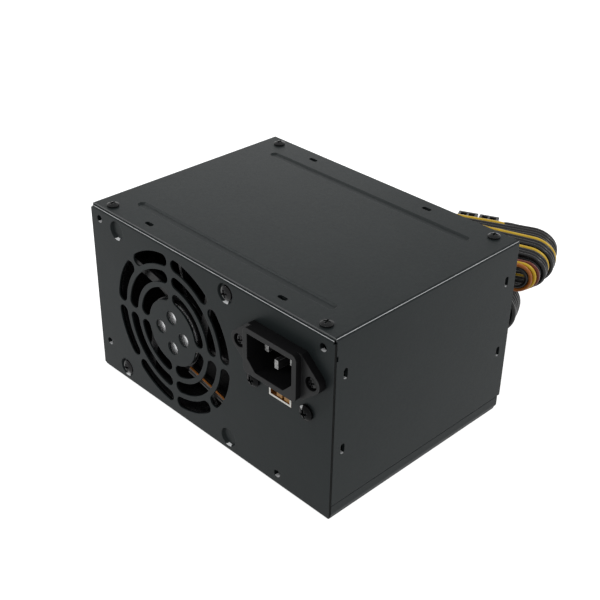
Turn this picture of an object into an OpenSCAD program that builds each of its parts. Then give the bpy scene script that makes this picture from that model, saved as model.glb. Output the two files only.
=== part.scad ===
// Desktop power supply unit: a bent base pan and a U-shaped cover around an exhaust fan, a mains inlet,
// a voltage selector, a populated board and folded output looms. Origin at the centre of the base, +Z up.

/* [Case] */
// Width across the fan face
case_w = 150; // [148:1:165]
// Height of the closed case
case_h = 86; // [85:1:95]
// Depth from the fan face to the rear edge of the cover
case_d = 110; // [108:1:150]
// Thickness of the sheet metal
sheet = 0.8; // [0.6:0.1:1]
// Outside radius of the sheet's bends
bend_r = 1.4; // [1.2:0.1:1.8]
// Depth of the inward flanges
flange_w = 10; // [9:0.5:12]
// Height of the base pan's side skirts
skirt_h = 6.8; // [5:0.1:9]
// How far the cable face lies in front of the cover's rear edge
rear_inset = 1.5; // [0.5:0.1:3]
// How far the cover's front edge lies behind the fan face
cover_set = 1.1; // [1:0.1:1.5]
// Visible gap between cover and base pan
seam = 0.3; // [0.2:0.05:0.5]

/* [Case holes] */
// Diameter of the fixing holes
fix_hole_d = 3.5; // [3:0.1:4]
// Distance of the upper fixing holes from the side and top edges
fix_edge = 6; // [5.5:0.1:8]
// Height of the lower left fixing hole
fix_low_z = 16; // [12:0.5:30]
// Distance of the foot fixing hole from the right edge
fix_foot_in = 30; // [24:0.5:36]
// Height of the foot fixing hole
fix_foot_z = 6; // [5:0.1:8]
// Distance of the cover screws from the side edges
cover_screw_in = 9.5; // [8:0.5:14]
// Distance of the cover screws from the front and rear edges
cover_screw_end = 5.2; // [4.5:0.1:6.5]
// Width of the lanced slots
lance_w = 2.2; // [1.5:0.1:2.8]
// Length of the lanced slots
lance_l = 4.8; // [3.5:0.1:6]

/* [Stiffening beads] */
// Width of a bead
bead_w = 4.4; // [3.5:0.1:6]
// Depth of a bead
bead_depth = 0.7; // [0.4:0.1:0.9]
// Distance of the beads from the ends of the case
bead_end = 15.4; // [14.5:0.1:20]
// Distance of the beads' ends from the sides of the case
bead_side = 15; // [12:0.5:40]

/* [Fan] */
// Gap between the fan frame and the case's bottom and top
fan_margin = 3; // [2.5:0.1:3]
// Depth of the fan frame
fan_depth = 25; // [22:0.5:26]
// Distance of the fan's corner holes from its edges
fan_hole_in = 4.25; // [4:0.05:4.5]
// Share of the free width beside the fan that lies to its left
fan_share = 0.8; // [0.7:0.01:0.85]
// Depth of the dished seats of the fan screws
dish_depth = 1.2; // [0.8:0.1:1.4]
// Diameter of the dished seats
dish_d = 9; // [8.2:0.1:9.4]
// Wall of the fan frame where it is thinnest
fan_wall = 2; // [1.6:0.1:2.5]
// Radius of the motor hub
hub_r = 16; // [15.5:0.1:17]
// Number of blades
blades = 7; // [5:1:9]
// Radius of the fan shaft
shaft_r = 1.5; // [1.2:0.1:1.6]
// Radial running clearance of the shaft in its bearing
shaft_fit = 0.03; // [0.02:0.01:0.08]

/* [Grille] */
// Radius of the plain disc in the middle of the grille
grille_disc_r = 15.5; // [14:0.1:16.5]
// Distance of the outer grille slots from the edge of the air duct
grille_edge = 0.3; // [0:0.1:1]
// Width of the bars between the slots
grille_bar = 2.4; // [2:0.1:2.8]
// Diameter of the four holes in the disc
disc_hole_d = 6.5; // [5:0.1:7]
// Radius of the circle of disc holes
disc_hole_r = 7.7; // [6.5:0.1:8.5]

/* [Mains inlet] */
// Distance of the inlet's centre from the right edge of the case
inlet_in = 28.5; // [27:0.5:30]
// Distance of the inlet's centre from the top of the case
inlet_top = 22; // [20:0.5:23]
// Spacing of the inlet's screws
inlet_pitch = 40; // [39:0.5:41]
// Width of the inlet's opening
inlet_open_w = 24.8; // [24.2:0.1:25.2]
// Height of the inlet's opening
inlet_open_h = 16.2; // [15.8:0.1:16.6]
// Wall around the opening
inlet_wall = 2.4; // [2:0.1:2.6]
// Height of the rim above the fan face
inlet_rim = 6; // [5:0.1:7]
// Thickness of the inlet's flange
inlet_flange = 3.3; // [2.8:0.1:3.8]
// Depth of the socket from the rim to its floor
inlet_depth = 17; // [15:0.5:19]
// Chamfer of the two lower corners
inlet_chamfer = 4.6; // [3.5:0.1:5]

/* [Voltage selector] */
// Distance of the selector's centre below the inlet's
sel_drop = 17.4; // [17:0.1:18.2]
// Width of the selector's window
sel_win_w = 13; // [12:0.1:13.6]
// Height of the selector's window
sel_win_h = 6; // [5:0.1:7]
// Wall of the collar that lines the window
sel_collar = 0.9; // [0.7:0.05:1.1]
// Width of the slider's knob
sel_knob_w = 7.4; // [6.4:0.1:8.2]
// Clearance between slider and window
sel_fit = 0.3; // [0.2:0.05:0.5]
// Spacing of the selector's screws
sel_pitch = 30; // [28:0.5:31]

/* [Board] */
// Gap between the board and the case's sides
board_gap = 5; // [3.5:0.5:8]
// Gap between the board and the fan
board_fan_gap = 4; // [3:0.5:6]
// Gap between the board and the cable face
board_rear_gap = 3; // [2.5:0.5:5]
// Height of the board's underside
board_z = 8; // [7:0.5:9]
// Thickness of the board
board_t = 1.6; // [1:0.1:2]
// Height of the heat sinks
sink_h = 52; // [46:1:56]
// Thickness of the heat sinks' plates
sink_t = 3; // [2:0.5:4]
// Radius of the bulk capacitors
bulk_r = 11; // [9:0.5:11.5]
// Height of the bulk capacitors
bulk_h = 36; // [25:1:40]

/* [Cables] */
// Diameter of the grommet's bore
grommet_bore_d = 19; // [18.6:0.1:20]
// Diameter of the hole that the grommet sits in
grommet_hole_d = 23.6; // [22.6:0.1:25]
// Distance of the grommet's centre from the left edge of the case
grommet_in = 33; // [30:0.5:38]
// Height of the grommet's centre
grommet_z = 34; // [30:0.5:38]
// Thickness of the cable ties
tie_t = 1; // [0.8:0.1:1.4]
// Width of the cable ties
tie_w = 3.6; // [2.5:0.1:5]

/* [Hidden] */
$fn = 48;
eps = 0.01;

// Colours
paint = "#3b3f40";
black_steel = "#202224";
black_plastic = "#161718";
bare_steel = "#b9bcbf";
aluminium = "#a9adb0";
copper = "#b4713a";
tape = "#d9a62c";
ferrite = "#3a3a3d";
board_green = "#2f5d38";

// Case faces
half_w = case_w / 2;
front_y = -case_d / 2;
rear_y = case_d / 2;
face_in_y = front_y + sheet;
pan_rear_y = rear_y - rear_inset;
cable_in_y = pan_rear_y - sheet;
pan_d = pan_rear_y - front_y;
pan_mid_y = (pan_rear_y + front_y) / 2;
pan_h = case_h - sheet;
pan_half_w = half_w - sheet - seam / 3;
cover_front_y = front_y + cover_set;
side_low_z = skirt_h + seam;

// Fixing holes of the fan face, from its centre line and the base
fix_holes = [
    [-half_w + fix_edge, case_h - fix_edge],
    [half_w - fix_edge, case_h - fix_edge],
    [-half_w + fix_edge, fix_low_z],
    [half_w - fix_foot_in, fix_foot_z]
];
collar_wall = 0.9;
collar_l = dish_depth - 0.2;

// Cover screws and lanced slots
screw_r = 1.45;
screw_hole_r = 1.5;
cover_hole_r = 1.7;
cover_head_d = 5.4;
cover_head_h = 1.6;
cover_screw_l = fan_margin - 0.4;
cover_screw_at = [
    for (sx = [-1, 1], y = [front_y + cover_screw_end, rear_y - cover_screw_end])
        [sx * (half_w - cover_screw_in), y]
];
lance_front_y = front_y + 6.2;
lance_rear_y = rear_y - 6;
lance_x = 0.547 * half_w;
lance_rear_x = 0.393 * half_w;
lance_top_at = [
    [-lance_x, lance_front_y], [lance_x, lance_front_y],
    [-lance_x, lance_rear_y], [lance_rear_x, lance_rear_y]
];
lance_side_z = [0.388 * case_h, 0.798 * case_h];

// Fan
nut_room = 4;
fan_size = case_h - 2 * fan_margin;
fan_free = case_w - inlet_in - inlet_pitch / 2 - nut_room - fan_size;
fan_x = fan_share * fan_free + fan_size / 2 - half_w;
fan_z = case_h / 2;
duct_r = fan_size / 2 - fan_wall;
fan_front_y = face_in_y + dish_depth;
fan_back_y = fan_front_y + fan_depth;
fan_corner = fan_size / 2 - fan_hole_in;
fan_flange_t = 4;
fan_hole_r = 2.15;
fan_screw_r = 2;
fan_head_d = 6.4;
fan_head_h = 2;
fan_screw_l = 10;
fan_screwed = [[1, 1], [-1, -1]];
hub_plate_t = 3;
strut_w = 4.4;
strut_t = 2.4;
strut_set = 2;
strut_off = hub_r - 1.4;
strut_tilt = 13;
strut_y = fan_front_y + strut_set;
lead_r = 0.75;
lead_gap = 0.2;
lead_from = sqrt(pow(hub_r + 1, 2) - pow(strut_off - 2 * lead_r, 2));
tube_r = 4.4;
bearing_r = 2.7;
rotor_gap = 1;
rotor_front_y = fan_front_y + hub_plate_t + rotor_gap + 1;
rotor_back_y = fan_back_y - 2;
rotor_wall = 1.4;
magnet_t = 2;
blade_tip_r = duct_r - 1.2;
blade_t = 1.4;
blade_bow_r = 26;
blade_pitch = 42;
blade_front_y = rotor_front_y + 0.6;
blade_back_y = rotor_back_y - 0.4;
stator_r = hub_r - rotor_wall - magnet_t - 0.6;
label_r = hub_r - 1.2;
label_t = 0.3;
grille_slot = (duct_r - grille_edge - grille_disc_r - 2 * grille_bar) / 3;
ring_step = grille_slot + grille_bar;

// Mains inlet
inlet_x = half_w - inlet_in;
inlet_z = case_h - inlet_top;
rim_y = front_y - inlet_rim;
flange_y = front_y - inlet_flange;
inlet_floor_y = rim_y + inlet_depth;
inlet_back_y = inlet_floor_y + 4;
rim_w = inlet_open_w + 2 * inlet_wall;
rim_h = inlet_open_h + 2 * inlet_wall;
rim_corner_r = 2.5;
ear_r = 4.5;
cut_fit = 0.2;
inlet_body_w = inlet_open_w + 2.4;
inlet_body_h = inlet_open_h + 2.4;
inlet_body_chamfer = inlet_chamfer - 0.4;
pin_w = 2;
pin_h = 4;
pin_pitch = 14;
pin_line_z = 2;
live_tip_y = rim_y + 5.5;
earth_tip_y = rim_y + 4;
tab_w = 0.8;
tab_l = 8;
inlet_head_d = 5.6;
inlet_head_h = 1.6;
inlet_recess_d = 6;
inlet_recess = 1.8;
nut_t = 2.4;
nut_r = 3.1;

// Voltage selector
sel_x = inlet_x;
sel_z = inlet_z - sel_drop;
sel_wall = 1.2;
sel_plate_t = 1.2;
sel_plate_h = 8.4;
sel_plate_w = sel_pitch + 8;
sel_open_w = sel_win_w - 2 * cut_fit - 2 * sel_collar;
sel_open_h = sel_win_h - 2 * cut_fit - 2 * sel_collar;
sel_travel = sel_open_w - sel_knob_w - 2 * sel_fit;
sel_foot_w = sel_knob_w + 2 * sel_travel + 0.4;
sel_body_w = sel_foot_w + sel_travel + 2 * sel_fit + 2 * sel_wall;
sel_body_h = 8;
sel_body_d = 9;
sel_plate_y = face_in_y + sel_plate_t;
sel_knob_x = sel_x + sel_open_w / 2 - sel_fit - sel_knob_w / 2;
sel_knob_h = sel_open_h - 2 * sel_fit;
sel_knob_y = front_y + 0.4;
sel_foot_t = 1.6;
sel_slot_w = 1.2;
sel_head_d = 6.8;
sel_head_h = 2.3;
sel_screw_l = 5;

// Board and what stands on it
board_top_z = board_z + board_t;
board_front_y = fan_back_y + board_fan_gap;
board_rear_y = cable_in_y - board_rear_gap;
board_d = board_rear_y - board_front_y;
board_half_w = half_w - board_gap;
board_hole_in = 5;
board_screw_h = 1.8;
post_r = 3;
board_holes = [
    for (sx = [-1, 1], y = [board_front_y + board_hole_in, board_rear_y - board_hole_in])
        [sx * (board_half_w - board_hole_in), y]
];
film_t = 0.4;
prim_x = 0.2933 * half_w;
sec_x = -0.3733 * half_w;
sink_front_y = board_front_y + 7;
sink_rear_y = board_rear_y - 12;
sink_l = sink_rear_y - sink_front_y;
sink_fin_l = 14;
sink_fin_t = 1.6;
sink_fins = 3;
sink_fin_pitch = 6;
device_w = 10;
device_t = 4.4;
device_h = 15;
device_z = board_top_z + 9;
device_leg_t = 0.7;
device_hole_z = device_z + device_h - 3;
device_at = [0.25, 0.7];
part_gap = 1.6;

// Input side: a thermistor, the bulk capacitors and a bridge share the width beside the devices
line_face_x = prim_x + sink_t / 2 + device_t + cover_head_h;
therm_t = 4;
therm_r = 6;
bridge_size = [4, 20, 18];
line_gap = (board_half_w - line_face_x - therm_t - 2 * bulk_r - bridge_size.x) / 4;
therm_x = line_face_x + line_gap + therm_t / 2;
bulk_x = line_face_x + 2 * line_gap + therm_t + bulk_r;
bridge_x = board_half_w - line_gap - bridge_size.x;
mid_row_y = board_front_y + 32;
x_cap_size = [8, 20, 14];
x_cap_x = line_face_x + part_gap;
fuse_r = 2.6;
fuse_cap_l = 5;
fuse_x = x_cap_x + x_cap_size.x + part_gap;
fuse_l = board_half_w - board_hole_in - cover_head_d / 2 - part_gap - fuse_x;
fuse_y = board_front_y + 3.2 + fuse_r;
choke_r = 5;
choke_wire = 2.6;
choke_x = (x_cap_x + x_cap_size.x + board_half_w) / 2;
choke_y = fuse_y + fuse_r + choke_r + choke_wire + 0.2;

// Output side: a toroid and four capacitors share the width beside the devices
out_face_x = sec_x - sink_t / 2 - device_t - cover_head_h;
out_room = board_half_w + out_face_x;
toroid_r = 0.26 * out_room;
toroid_wire = 0.1333 * out_room;
toroid_x = out_face_x - 0.055 * out_room - toroid_r - toroid_wire;
can_r = 5;
can_h = 20;
can_step = 2 * can_r + 1;

// Wound parts between the heat sinks
trafo_x = (prim_x + sec_x) / 2;
trafo_size = [34, 30, 31];
standby_size = [18, 16, 17];
driver_size = [20, 14, 17];

// Cables: the hank frame has u along the hanks, v away from the case, turned about the origin
grommet_x = grommet_in - half_w;
grommet_flange_r = grommet_hole_d / 2 + 2.4;
grommet_flange_t = 2.4;
hank_turn = 25;
loom_12v_d = 6.6;
loom_drive_d = 5.6;
loom_main_d = 9.4;
tail_12v_d = 4.6;
tail_drive_d = 5;
loom_joint = 0.3;
loom_12v_off = [4.6, 2.1];
loom_drive_off = [3.8, -4.7];
loom_main_off = [-3.7, -1];
lead_12v = [20, 6.4];
lead_drive = [9, 9.2];
lead_main = [14, 23.7];
hank_left_u = 22;
main_hank = [1.2, 35, 72, 61, 74.6];
main_far_hank = [1.2, 25.6, 69, 76.6, 106];
drive_hank = [36.2, 51.2, 90.5, 61, 73];
twelve_hank = [26.8, 48.6, 89.5, 76.6, 106];
main_tie_u = 50;
main_far_tie_u = 40;
drive_tie_u = 34;
twelve_tie_u = 21;
route_12v = [
    [-37.4, 57, 36], [-37.3, 64, 35.6], [-36.3, 71, 34.6], [-33.2, 76.6, 33.2], [-28, 79.6, 32.3],
    [-17.4, 84.6, 32]
];
route_drive = [
    [-38.2, 57, 29.3], [-36.2, 60, 28.9], [-31.8, 61.2, 30.6], [-26, 62.2, 35], [-18.8, 64.4, 39.2],
    [-8.4, 70, 39.8]
];
route_main = [
    [-45.7, 57, 33], [-45, 64, 31.2], [-41.5, 69, 27.6], [-35.5, 69.6, 25.8], [-27.5, 66.6, 26.4],
    [-20.6, 65.8, 27.6], [-12.4, 69.2, 28]
];
plug_main_u = -17;
plug_main_v = 73;
plug_main_size = [14, 51, 10];
plug_pin_pitch = 4.2;
plug_cell = 3.2;
plug_12v_size = [10, 10, 15];
plug_12v_u = [45, 56];
plug_12v_v = twelve_hank[4] + 1.6;
plug_12v_top = 45;
tail_12v_drop = [8, 13.5];
tail_12v_bend = [[-20, 0], [-6.5, 0], [-2.2, 2], [0, 5.5]];
tail_12v = [
    [[14, 101, 38], [10, 101, 36], [6.5, 103, 31], [6.5, 107, 25.5], [10, 111, 21.5]],
    [[14, 95, 38.5], [9, 95, 37.5], [4, 96, 34], [1, 100, 27], [2, 106, 20], [10, 111, 15.5]]
];
plug_drive_size = [16, 24, 5.6];
plug_drive_u = 42;
plug_drive_v = 55;

// Flat outlines
module round_rect(w, h, r) {
    square([w - 2 * r, h], center = true);
    square([w, h - 2 * r], center = true);
    for (sx = [-1, 1], sy = [-1, 1])
        translate([sx * (w / 2 - r), sy * (h / 2 - r)]) circle(r);
}

module stadium(l, w) {
    square([l - w, w], center = true);
    for (s = [-1, 1]) translate([s * (l - w) / 2, 0]) circle(w / 2);
}

module chamfered(w, h, c) {
    polygon([
        [-w / 2 + c, -h / 2], [w / 2 - c, -h / 2], [w / 2, -h / 2 + c],
        [w / 2, h / 2], [-w / 2, h / 2], [-w / 2, -h / 2 + c]
    ]);
}

// Extrudes an outline drawn in X and Z towards -Y, from y down by depth
module to_front(y, depth) {
    translate([0, y, 0]) rotate([90, 0, 0]) linear_extrude(depth) children();
}

// Extrudes an outline drawn in Y and Z along X, centred
module along_x(length) {
    rotate([90, 0, 90]) linear_extrude(length, center = true) children();
}

// A round rod along Y, between two places
module rod_y(x, z, r, y0, y1) {
    translate([x, y0, z]) rotate([-90, 0, 0]) cylinder(h = y1 - y0, r = r);
}

// Pan head screw with a cross recess: seat at z = 0, head upwards
module pan_screw(head_d, head_h, r, l) {
    cross_l = head_d * 0.56;
    cross_w = head_d * 0.15;
    edge_h = head_h * 0.45;
    dome_r = (pow(head_d / 2, 2) + pow(head_h - edge_h, 2)) / (2 * (head_h - edge_h));
    difference() {
        union() {
            cylinder(h = edge_h, d = head_d);
            intersection() {
                translate([0, 0, head_h - dome_r]) sphere(dome_r);
                cylinder(h = head_h, d = head_d);
            }
            translate([0, 0, -l]) cylinder(h = l + edge_h / 2, r = r);
        }
        for (a = [0, 90])
            rotate([0, 0, a + 20]) translate([-cross_l / 2, -cross_w / 2, head_h * 0.4])
                cube([cross_l, cross_w, head_h]);
    }
}

// A tube swept along a path by rings that face along it and don't twist
function tangent(p, i) =
    let (d = p[min(i + 1, len(p) - 1)] - p[max(i - 1, 0)]) d / norm(d);
function across(t, a) =
    let (b = a - (a * t) * t) b / norm(b);
function normals(p, i, a) =
    i == len(p) ? [] : let (b = across(tangent(p, i), a)) concat([b], normals(p, i + 1, b));
function ring(c, t, a, r, n) =
    let (b = cross(t, a)) [for (k = [0:n - 1]) c + r * (cos(360 * k / n) * a + sin(360 * k / n) * b)];

module tube(path, d, n = 8) {
    last = len(path) - 1;
    turns = normals(path, 0, [0.6, 0, 0.8]);
    points = [for (i = [0:last]) each ring(path[i], tangent(path, i), turns[i], d / 2, n)];
    sides = [
        for (i = [0:last - 1], k = [0:n - 1])
            [i * n + k, (i + 1) * n + k, (i + 1) * n + (k + 1) % n, i * n + (k + 1) % n]
    ];
    ends = [[for (k = [0:n - 1]) k], [for (k = [n - 1:-1:0]) last * n + k]];
    polyhedron(points, concat(sides, ends));
}

// The base pan
module pan_profile() {
    gap_l = pan_d - 2 * flange_w;
    difference() {
        translate([pan_mid_y, pan_h / 2]) round_rect(pan_d, pan_h, bend_r);
        translate([pan_mid_y, pan_h / 2])
            round_rect(pan_d - 2 * sheet, pan_h - 2 * sheet, bend_r - sheet);
        translate([pan_mid_y - gap_l / 2, pan_h - 2 * sheet]) square([gap_l, 3 * sheet]);
    }
}

module skirt_profile() {
    intersection() {
        difference() {
            translate([0, case_h / 2]) round_rect(case_w, case_h, 2 * bend_r);
            translate([0, case_h / 2])
                round_rect(case_w - 2 * sheet, case_h - 2 * sheet, 2 * bend_r - sheet);
        }
        translate([-case_w, 0]) square([2 * case_w, skirt_h]);
    }
}

module arc_slot(mid_r, w, from, to) {
    reach = 2 * mid_r;
    mid = (from + to) / 2;
    intersection() {
        difference() {
            circle(mid_r + w / 2);
            circle(mid_r - w / 2);
        }
        polygon([[0, 0], for (a = [from, mid, to]) reach * [cos(a), sin(a)]]);
    }
    for (a = [from, to]) translate(mid_r * [cos(a), sin(a)]) circle(w / 2);
}

module grille_cuts() {
    for (k = [0:2]) {
        mid_r = grille_disc_r + grille_slot / 2 + k * ring_step;
        count = k == 2 ? 8 : 4;
        part = 360 / count;
        trim = asin((grille_bar + grille_slot) / 2 / mid_r);
        for (i = [0:count - 1]) arc_slot(mid_r, grille_slot, i * part + trim, (i + 1) * part - trim);
    }
    for (a = [0:90:270]) rotate(a) translate([disc_hole_r, 0]) circle(d = disc_hole_d);
}

module fan_face_cuts() {
    translate([fan_x, fan_z]) grille_cuts();
    translate([inlet_x, inlet_z])
        chamfered(inlet_body_w + 2 * cut_fit, inlet_body_h + 2 * cut_fit, inlet_body_chamfer);
    for (s = [-1, 1]) translate([inlet_x + s * inlet_pitch / 2, inlet_z]) circle(screw_hole_r + cut_fit);
    translate([sel_x, sel_z]) square([sel_win_w, sel_win_h], center = true);
    for (s = [-1, 1]) translate([sel_x + s * sel_pitch / 2, sel_z]) circle(screw_hole_r + cut_fit);
}

module vent_cuts() {
    vent_w = 3;
    vent_l = 22;
    vents = 14;
    vent_pitch = 6;
    for (i = [0:vents - 1], z = [0.3, 0.7] * case_h)
        translate([half_w - 12 - i * vent_pitch, z]) rotate(90) stadium(vent_l, vent_w);
}

module base_pan() {
    dish_wall = 0.8;
    lip_w = half_w - pan_half_w;
    color(paint) difference() {
        union() {
            along_x(2 * pan_half_w) pan_profile();
            to_front(pan_rear_y, pan_d - sheet - seam) skirt_profile();
            // the fan face reaches past the flanges to the full width
            for (s = [-1, 1])
                translate([s * (half_w - lip_w / 2 - 1), front_y + sheet / 2, pan_h / 2])
                    cube([lip_w + 2, sheet, pan_h - 2 * bend_r], center = true);
            for (s = [-1, 1], y = [front_y + sheet / 2, pan_rear_y - sheet / 2 - flange_w + sheet])
                translate([s * (pan_half_w - sheet / 2) - sheet / 2, y, side_low_z + 2])
                    cube([sheet, flange_w - sheet, pan_h - side_low_z - 6]);
            for (p = fix_holes)
                rod_y(p.x, p.y, fix_hole_d / 2 + collar_wall, front_y + sheet / 2, face_in_y + collar_l);
            for (sx = [-1, 1], sz = [-1, 1])
                rod_y(fan_x + sx * fan_corner, fan_z + sz * fan_corner, dish_d / 2 + dish_wall,
                    front_y + sheet / 2, fan_front_y);
        }
        to_front(front_y + 2 * sheet, 3 * sheet) fan_face_cuts();
        for (p = fix_holes) rod_y(p.x, p.y, fix_hole_d / 2, front_y - 1, face_in_y + collar_l + 1);
        for (sx = [-1, 1], sz = [-1, 1])
            translate([fan_x + sx * fan_corner, front_y - eps, fan_z + sz * fan_corner]) rotate([-90, 0, 0])
                cylinder(h = dish_depth + eps, d1 = dish_d, d2 = dish_d - dish_depth);
        for (c = fan_screwed)
            rod_y(fan_x + c.x * fan_corner, fan_z + c.y * fan_corner, fan_hole_r, front_y, fan_front_y + 1);
        for (p = cover_screw_at) translate([p.x, p.y, pan_h - 3]) cylinder(h = 6, r = screw_hole_r);
        lance_cuts();
        to_front(pan_rear_y + sheet, 3 * sheet) vent_cuts();
        rod_y(grommet_x, grommet_z, grommet_hole_d / 2, cable_in_y - 1, pan_rear_y + 1);
    }
}

// Slots through the cover and the flanges behind it
module lance_cuts() {
    deep = 4 * sheet;
    for (p = lance_top_at)
        translate([p.x, p.y, case_h - deep]) linear_extrude(2 * deep) stadium(lance_l, lance_w);
    for (s = [-1, 1], y = [lance_front_y, lance_rear_y], z = lance_side_z)
        translate([s * half_w, y, z]) rotate([0, 90, 0])
            linear_extrude(2 * deep, center = true) stadium(lance_l, lance_w);
}

// The cover
module cover_profile() {
    difference() {
        translate([0, case_h / 2]) round_rect(case_w, case_h, bend_r);
        translate([0, case_h / 2])
            round_rect(case_w - 2 * sheet, case_h - 2 * sheet, bend_r - sheet);
        translate([-case_w, -1]) square([2 * case_w, side_low_z + 1]);
    }
}

module bead(y, top_z, grow) {
    w = bead_w / 2 + grow;
    foot = w - bead_depth;
    l = case_w - 2 * bead_side - bead_w;
    translate([0, y, top_z - bead_depth]) {
        along_x(l) polygon([[-foot, 0], [foot, 0], [w, bead_depth], [-w, bead_depth]]);
        for (s = [-1, 1]) translate([s * l / 2, 0, 0]) cylinder(h = bead_depth, r1 = foot, r2 = w);
    }
}

module top_cover() {
    beads = [front_y + bead_end, rear_y - bead_end];
    notch_z = case_h - 9;
    notch_h = 2.4;
    color(paint) difference() {
        union() {
            to_front(rear_y, case_d - cover_set) cover_profile();
            for (y = beads) bead(y, case_h - sheet + eps, sheet / 3);
        }
        for (y = beads) bead(y, case_h + eps, 0);
        for (p = cover_screw_at) translate([p.x, p.y, case_h - 3]) cylinder(h = 6, r = cover_hole_r);
        lance_cuts();
        for (s = [-1, 1])
            translate([s * half_w, cover_front_y, notch_z])
                cube([4 * sheet, 2 * sheet, notch_h], center = true);
    }
}

module cover_screws() {
    color(black_steel) for (p = cover_screw_at)
        translate([p.x, p.y, case_h]) pan_screw(cover_head_d, cover_head_h, screw_r, cover_screw_l);
}

// The fan
module fan_square() {
    difference() {
        round_rect(fan_size, fan_size, 4);
        circle(duct_r);
        for (sx = [-1, 1], sz = [-1, 1]) translate([sx * fan_corner, sz * fan_corner]) circle(fan_hole_r);
    }
}

module fan_frame() {
    tube_back_y = rotor_back_y - 6;
    color(black_plastic) difference() {
        union() {
            translate([fan_x, 0, fan_z]) {
                to_front(fan_front_y + fan_flange_t, fan_flange_t) fan_square();
                to_front(fan_back_y, fan_flange_t) fan_square();
                to_front(fan_back_y - 1, fan_depth - 2) difference() {
                    circle(fan_size / 2 - 0.4);
                    circle(duct_r);
                }
                for (a = [0:90:270])
                    rotate([0, a + strut_tilt, 0]) translate([0, strut_y, -strut_off - strut_w / 2])
                        cube([sqrt(pow(duct_r + 0.6, 2) - pow(strut_off, 2)), strut_t, strut_w]);
            }
            rod_y(fan_x, fan_z, hub_r, fan_front_y, fan_front_y + hub_plate_t);
            rod_y(fan_x, fan_z, tube_r, fan_front_y + 1, tube_back_y);
        }
        rod_y(fan_x, fan_z, bearing_r, fan_front_y + 1.4, tube_back_y + 1);
        // notch for the lead
        translate([fan_x, strut_y - 4 * lead_r, fan_z]) rotate([0, strut_tilt, 0])
            translate([duct_r - 8, 0, -strut_off - 3 * lead_r]) cube([duct_r, 4 * lead_r, 6 * lead_r]);
    }
}

module fan_screws() {
    color(black_steel) for (c = fan_screwed)
        translate([fan_x + c.x * fan_corner, front_y + dish_depth, fan_z + c.y * fan_corner])
            rotate([90, 0, 0]) pan_screw(fan_head_d, fan_head_h, fan_screw_r, fan_screw_l);
}

module fan_label() {
    color(bare_steel) rod_y(fan_x, fan_z, label_r, fan_front_y - label_t, fan_front_y);
}

module fan_bearing() {
    color("#b08d3c") difference() {
        rod_y(fan_x, fan_z, bearing_r, fan_front_y + 2.4, rotor_back_y - 6);
        rod_y(fan_x, fan_z, shaft_r + shaft_fit, fan_front_y + 2, rotor_back_y);
    }
}

module fan_stator() {
    pole_w = 5;
    poles_y = rotor_front_y + 3;
    poles_l = rotor_back_y - 7 - poles_y;
    color(copper) translate([fan_x, 0, fan_z]) difference() {
        union() {
            rod_y(0, 0, tube_r + 2, rotor_front_y + 1, rotor_back_y - 6);
            for (a = [0, 90]) rotate([0, a, 0]) translate([-stator_r + 0.8, poles_y, -pole_w / 2])
                cube([2 * stator_r - 1.6, poles_l, pole_w]);
            difference() {
                rod_y(0, 0, stator_r, poles_y, poles_y + poles_l);
                rod_y(0, 0, stator_r - 1.2, poles_y - 1, poles_y + poles_l + 1);
            }
        }
        rod_y(0, 0, tube_r, fan_front_y, fan_back_y);
    }
}

module blade() {
    chord = blade_back_y - blade_front_y;
    intersection() {
        difference() {
            rod_y(0, 0, blade_tip_r, blade_front_y, blade_back_y);
            rod_y(0, 0, hub_r - 0.4, blade_front_y - 1, blade_back_y + 1);
        }
        translate([hub_r - 2, (blade_front_y + blade_back_y) / 2, 0]) rotate([blade_pitch, 0, 0])
            translate([0, -chord, 0]) intersection() {
                translate([0, 0, -chord]) cube([blade_tip_r, 2 * chord, 2 * chord]);
                translate([0, chord, blade_bow_r]) rotate([0, 90, 0]) difference() {
                    cylinder(h = blade_tip_r, r = blade_bow_r);
                    translate([0, 0, -1]) cylinder(h = blade_tip_r + 2, r = blade_bow_r - blade_t);
                }
            }
    }
}

module fan_rotor() {
    color(black_plastic) translate([fan_x, 0, fan_z]) {
        difference() {
            rod_y(0, 0, hub_r, rotor_front_y, rotor_back_y);
            rod_y(0, 0, hub_r - rotor_wall, rotor_front_y - 1, rotor_back_y - 3);
            rod_y(0, 0, shaft_r, rotor_back_y - 4, rotor_back_y + 1);
        }
        for (i = [0:blades - 1]) rotate([0, i * 360 / blades, 0]) blade();
    }
}

module fan_shaft() {
    color(bare_steel) rod_y(fan_x, fan_z, shaft_r, fan_front_y + 2.6, rotor_back_y);
}

module fan_magnet() {
    outer_r = hub_r - rotor_wall;
    color(ferrite) difference() {
        rod_y(fan_x, fan_z, outer_r, rotor_front_y + 1, rotor_back_y - 3);
        rod_y(fan_x, fan_z, outer_r - magnet_t, rotor_front_y, rotor_back_y);
    }
}

// A place on the strut that carries the lead, at a distance along it and an offset across it
function lead_at(along, off) =
    let (c = cos(strut_tilt), k = sin(strut_tilt), down = strut_off + off)
    [fan_x + along * c - down * k, strut_y - lead_r, fan_z - along * k - down * c];

module fan_lead() {
    side_x = fan_x + fan_size / 2 + 4;
    for (s = [-1, 1]) {
        d = s * (lead_r + lead_gap / 2);
        p = lead_at(fan_size * 0.57, -d);
        color(s < 0 ? "#c8641e" : tape) tube([
            lead_at(lead_from, -d), lead_at(fan_size * 0.25, -d), lead_at(fan_size * 0.45, -d), p,
            [side_x - 0.6, p.y + 3, p.z - 0.6], [side_x + d, p.y + 9, p.z - 0.8],
            [side_x + 1.5 * d, fan_back_y - 6, p.z - 1 - d / 2],
            [side_x + 1.5 * d, board_front_y - 3, board_top_z + 7],
            [side_x + 1.5 * d, board_front_y + 1, board_top_z + 3],
            [side_x + 1.5 * d, board_front_y + 2, board_top_z]
        ], 2 * lead_r);
    }
}

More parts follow.
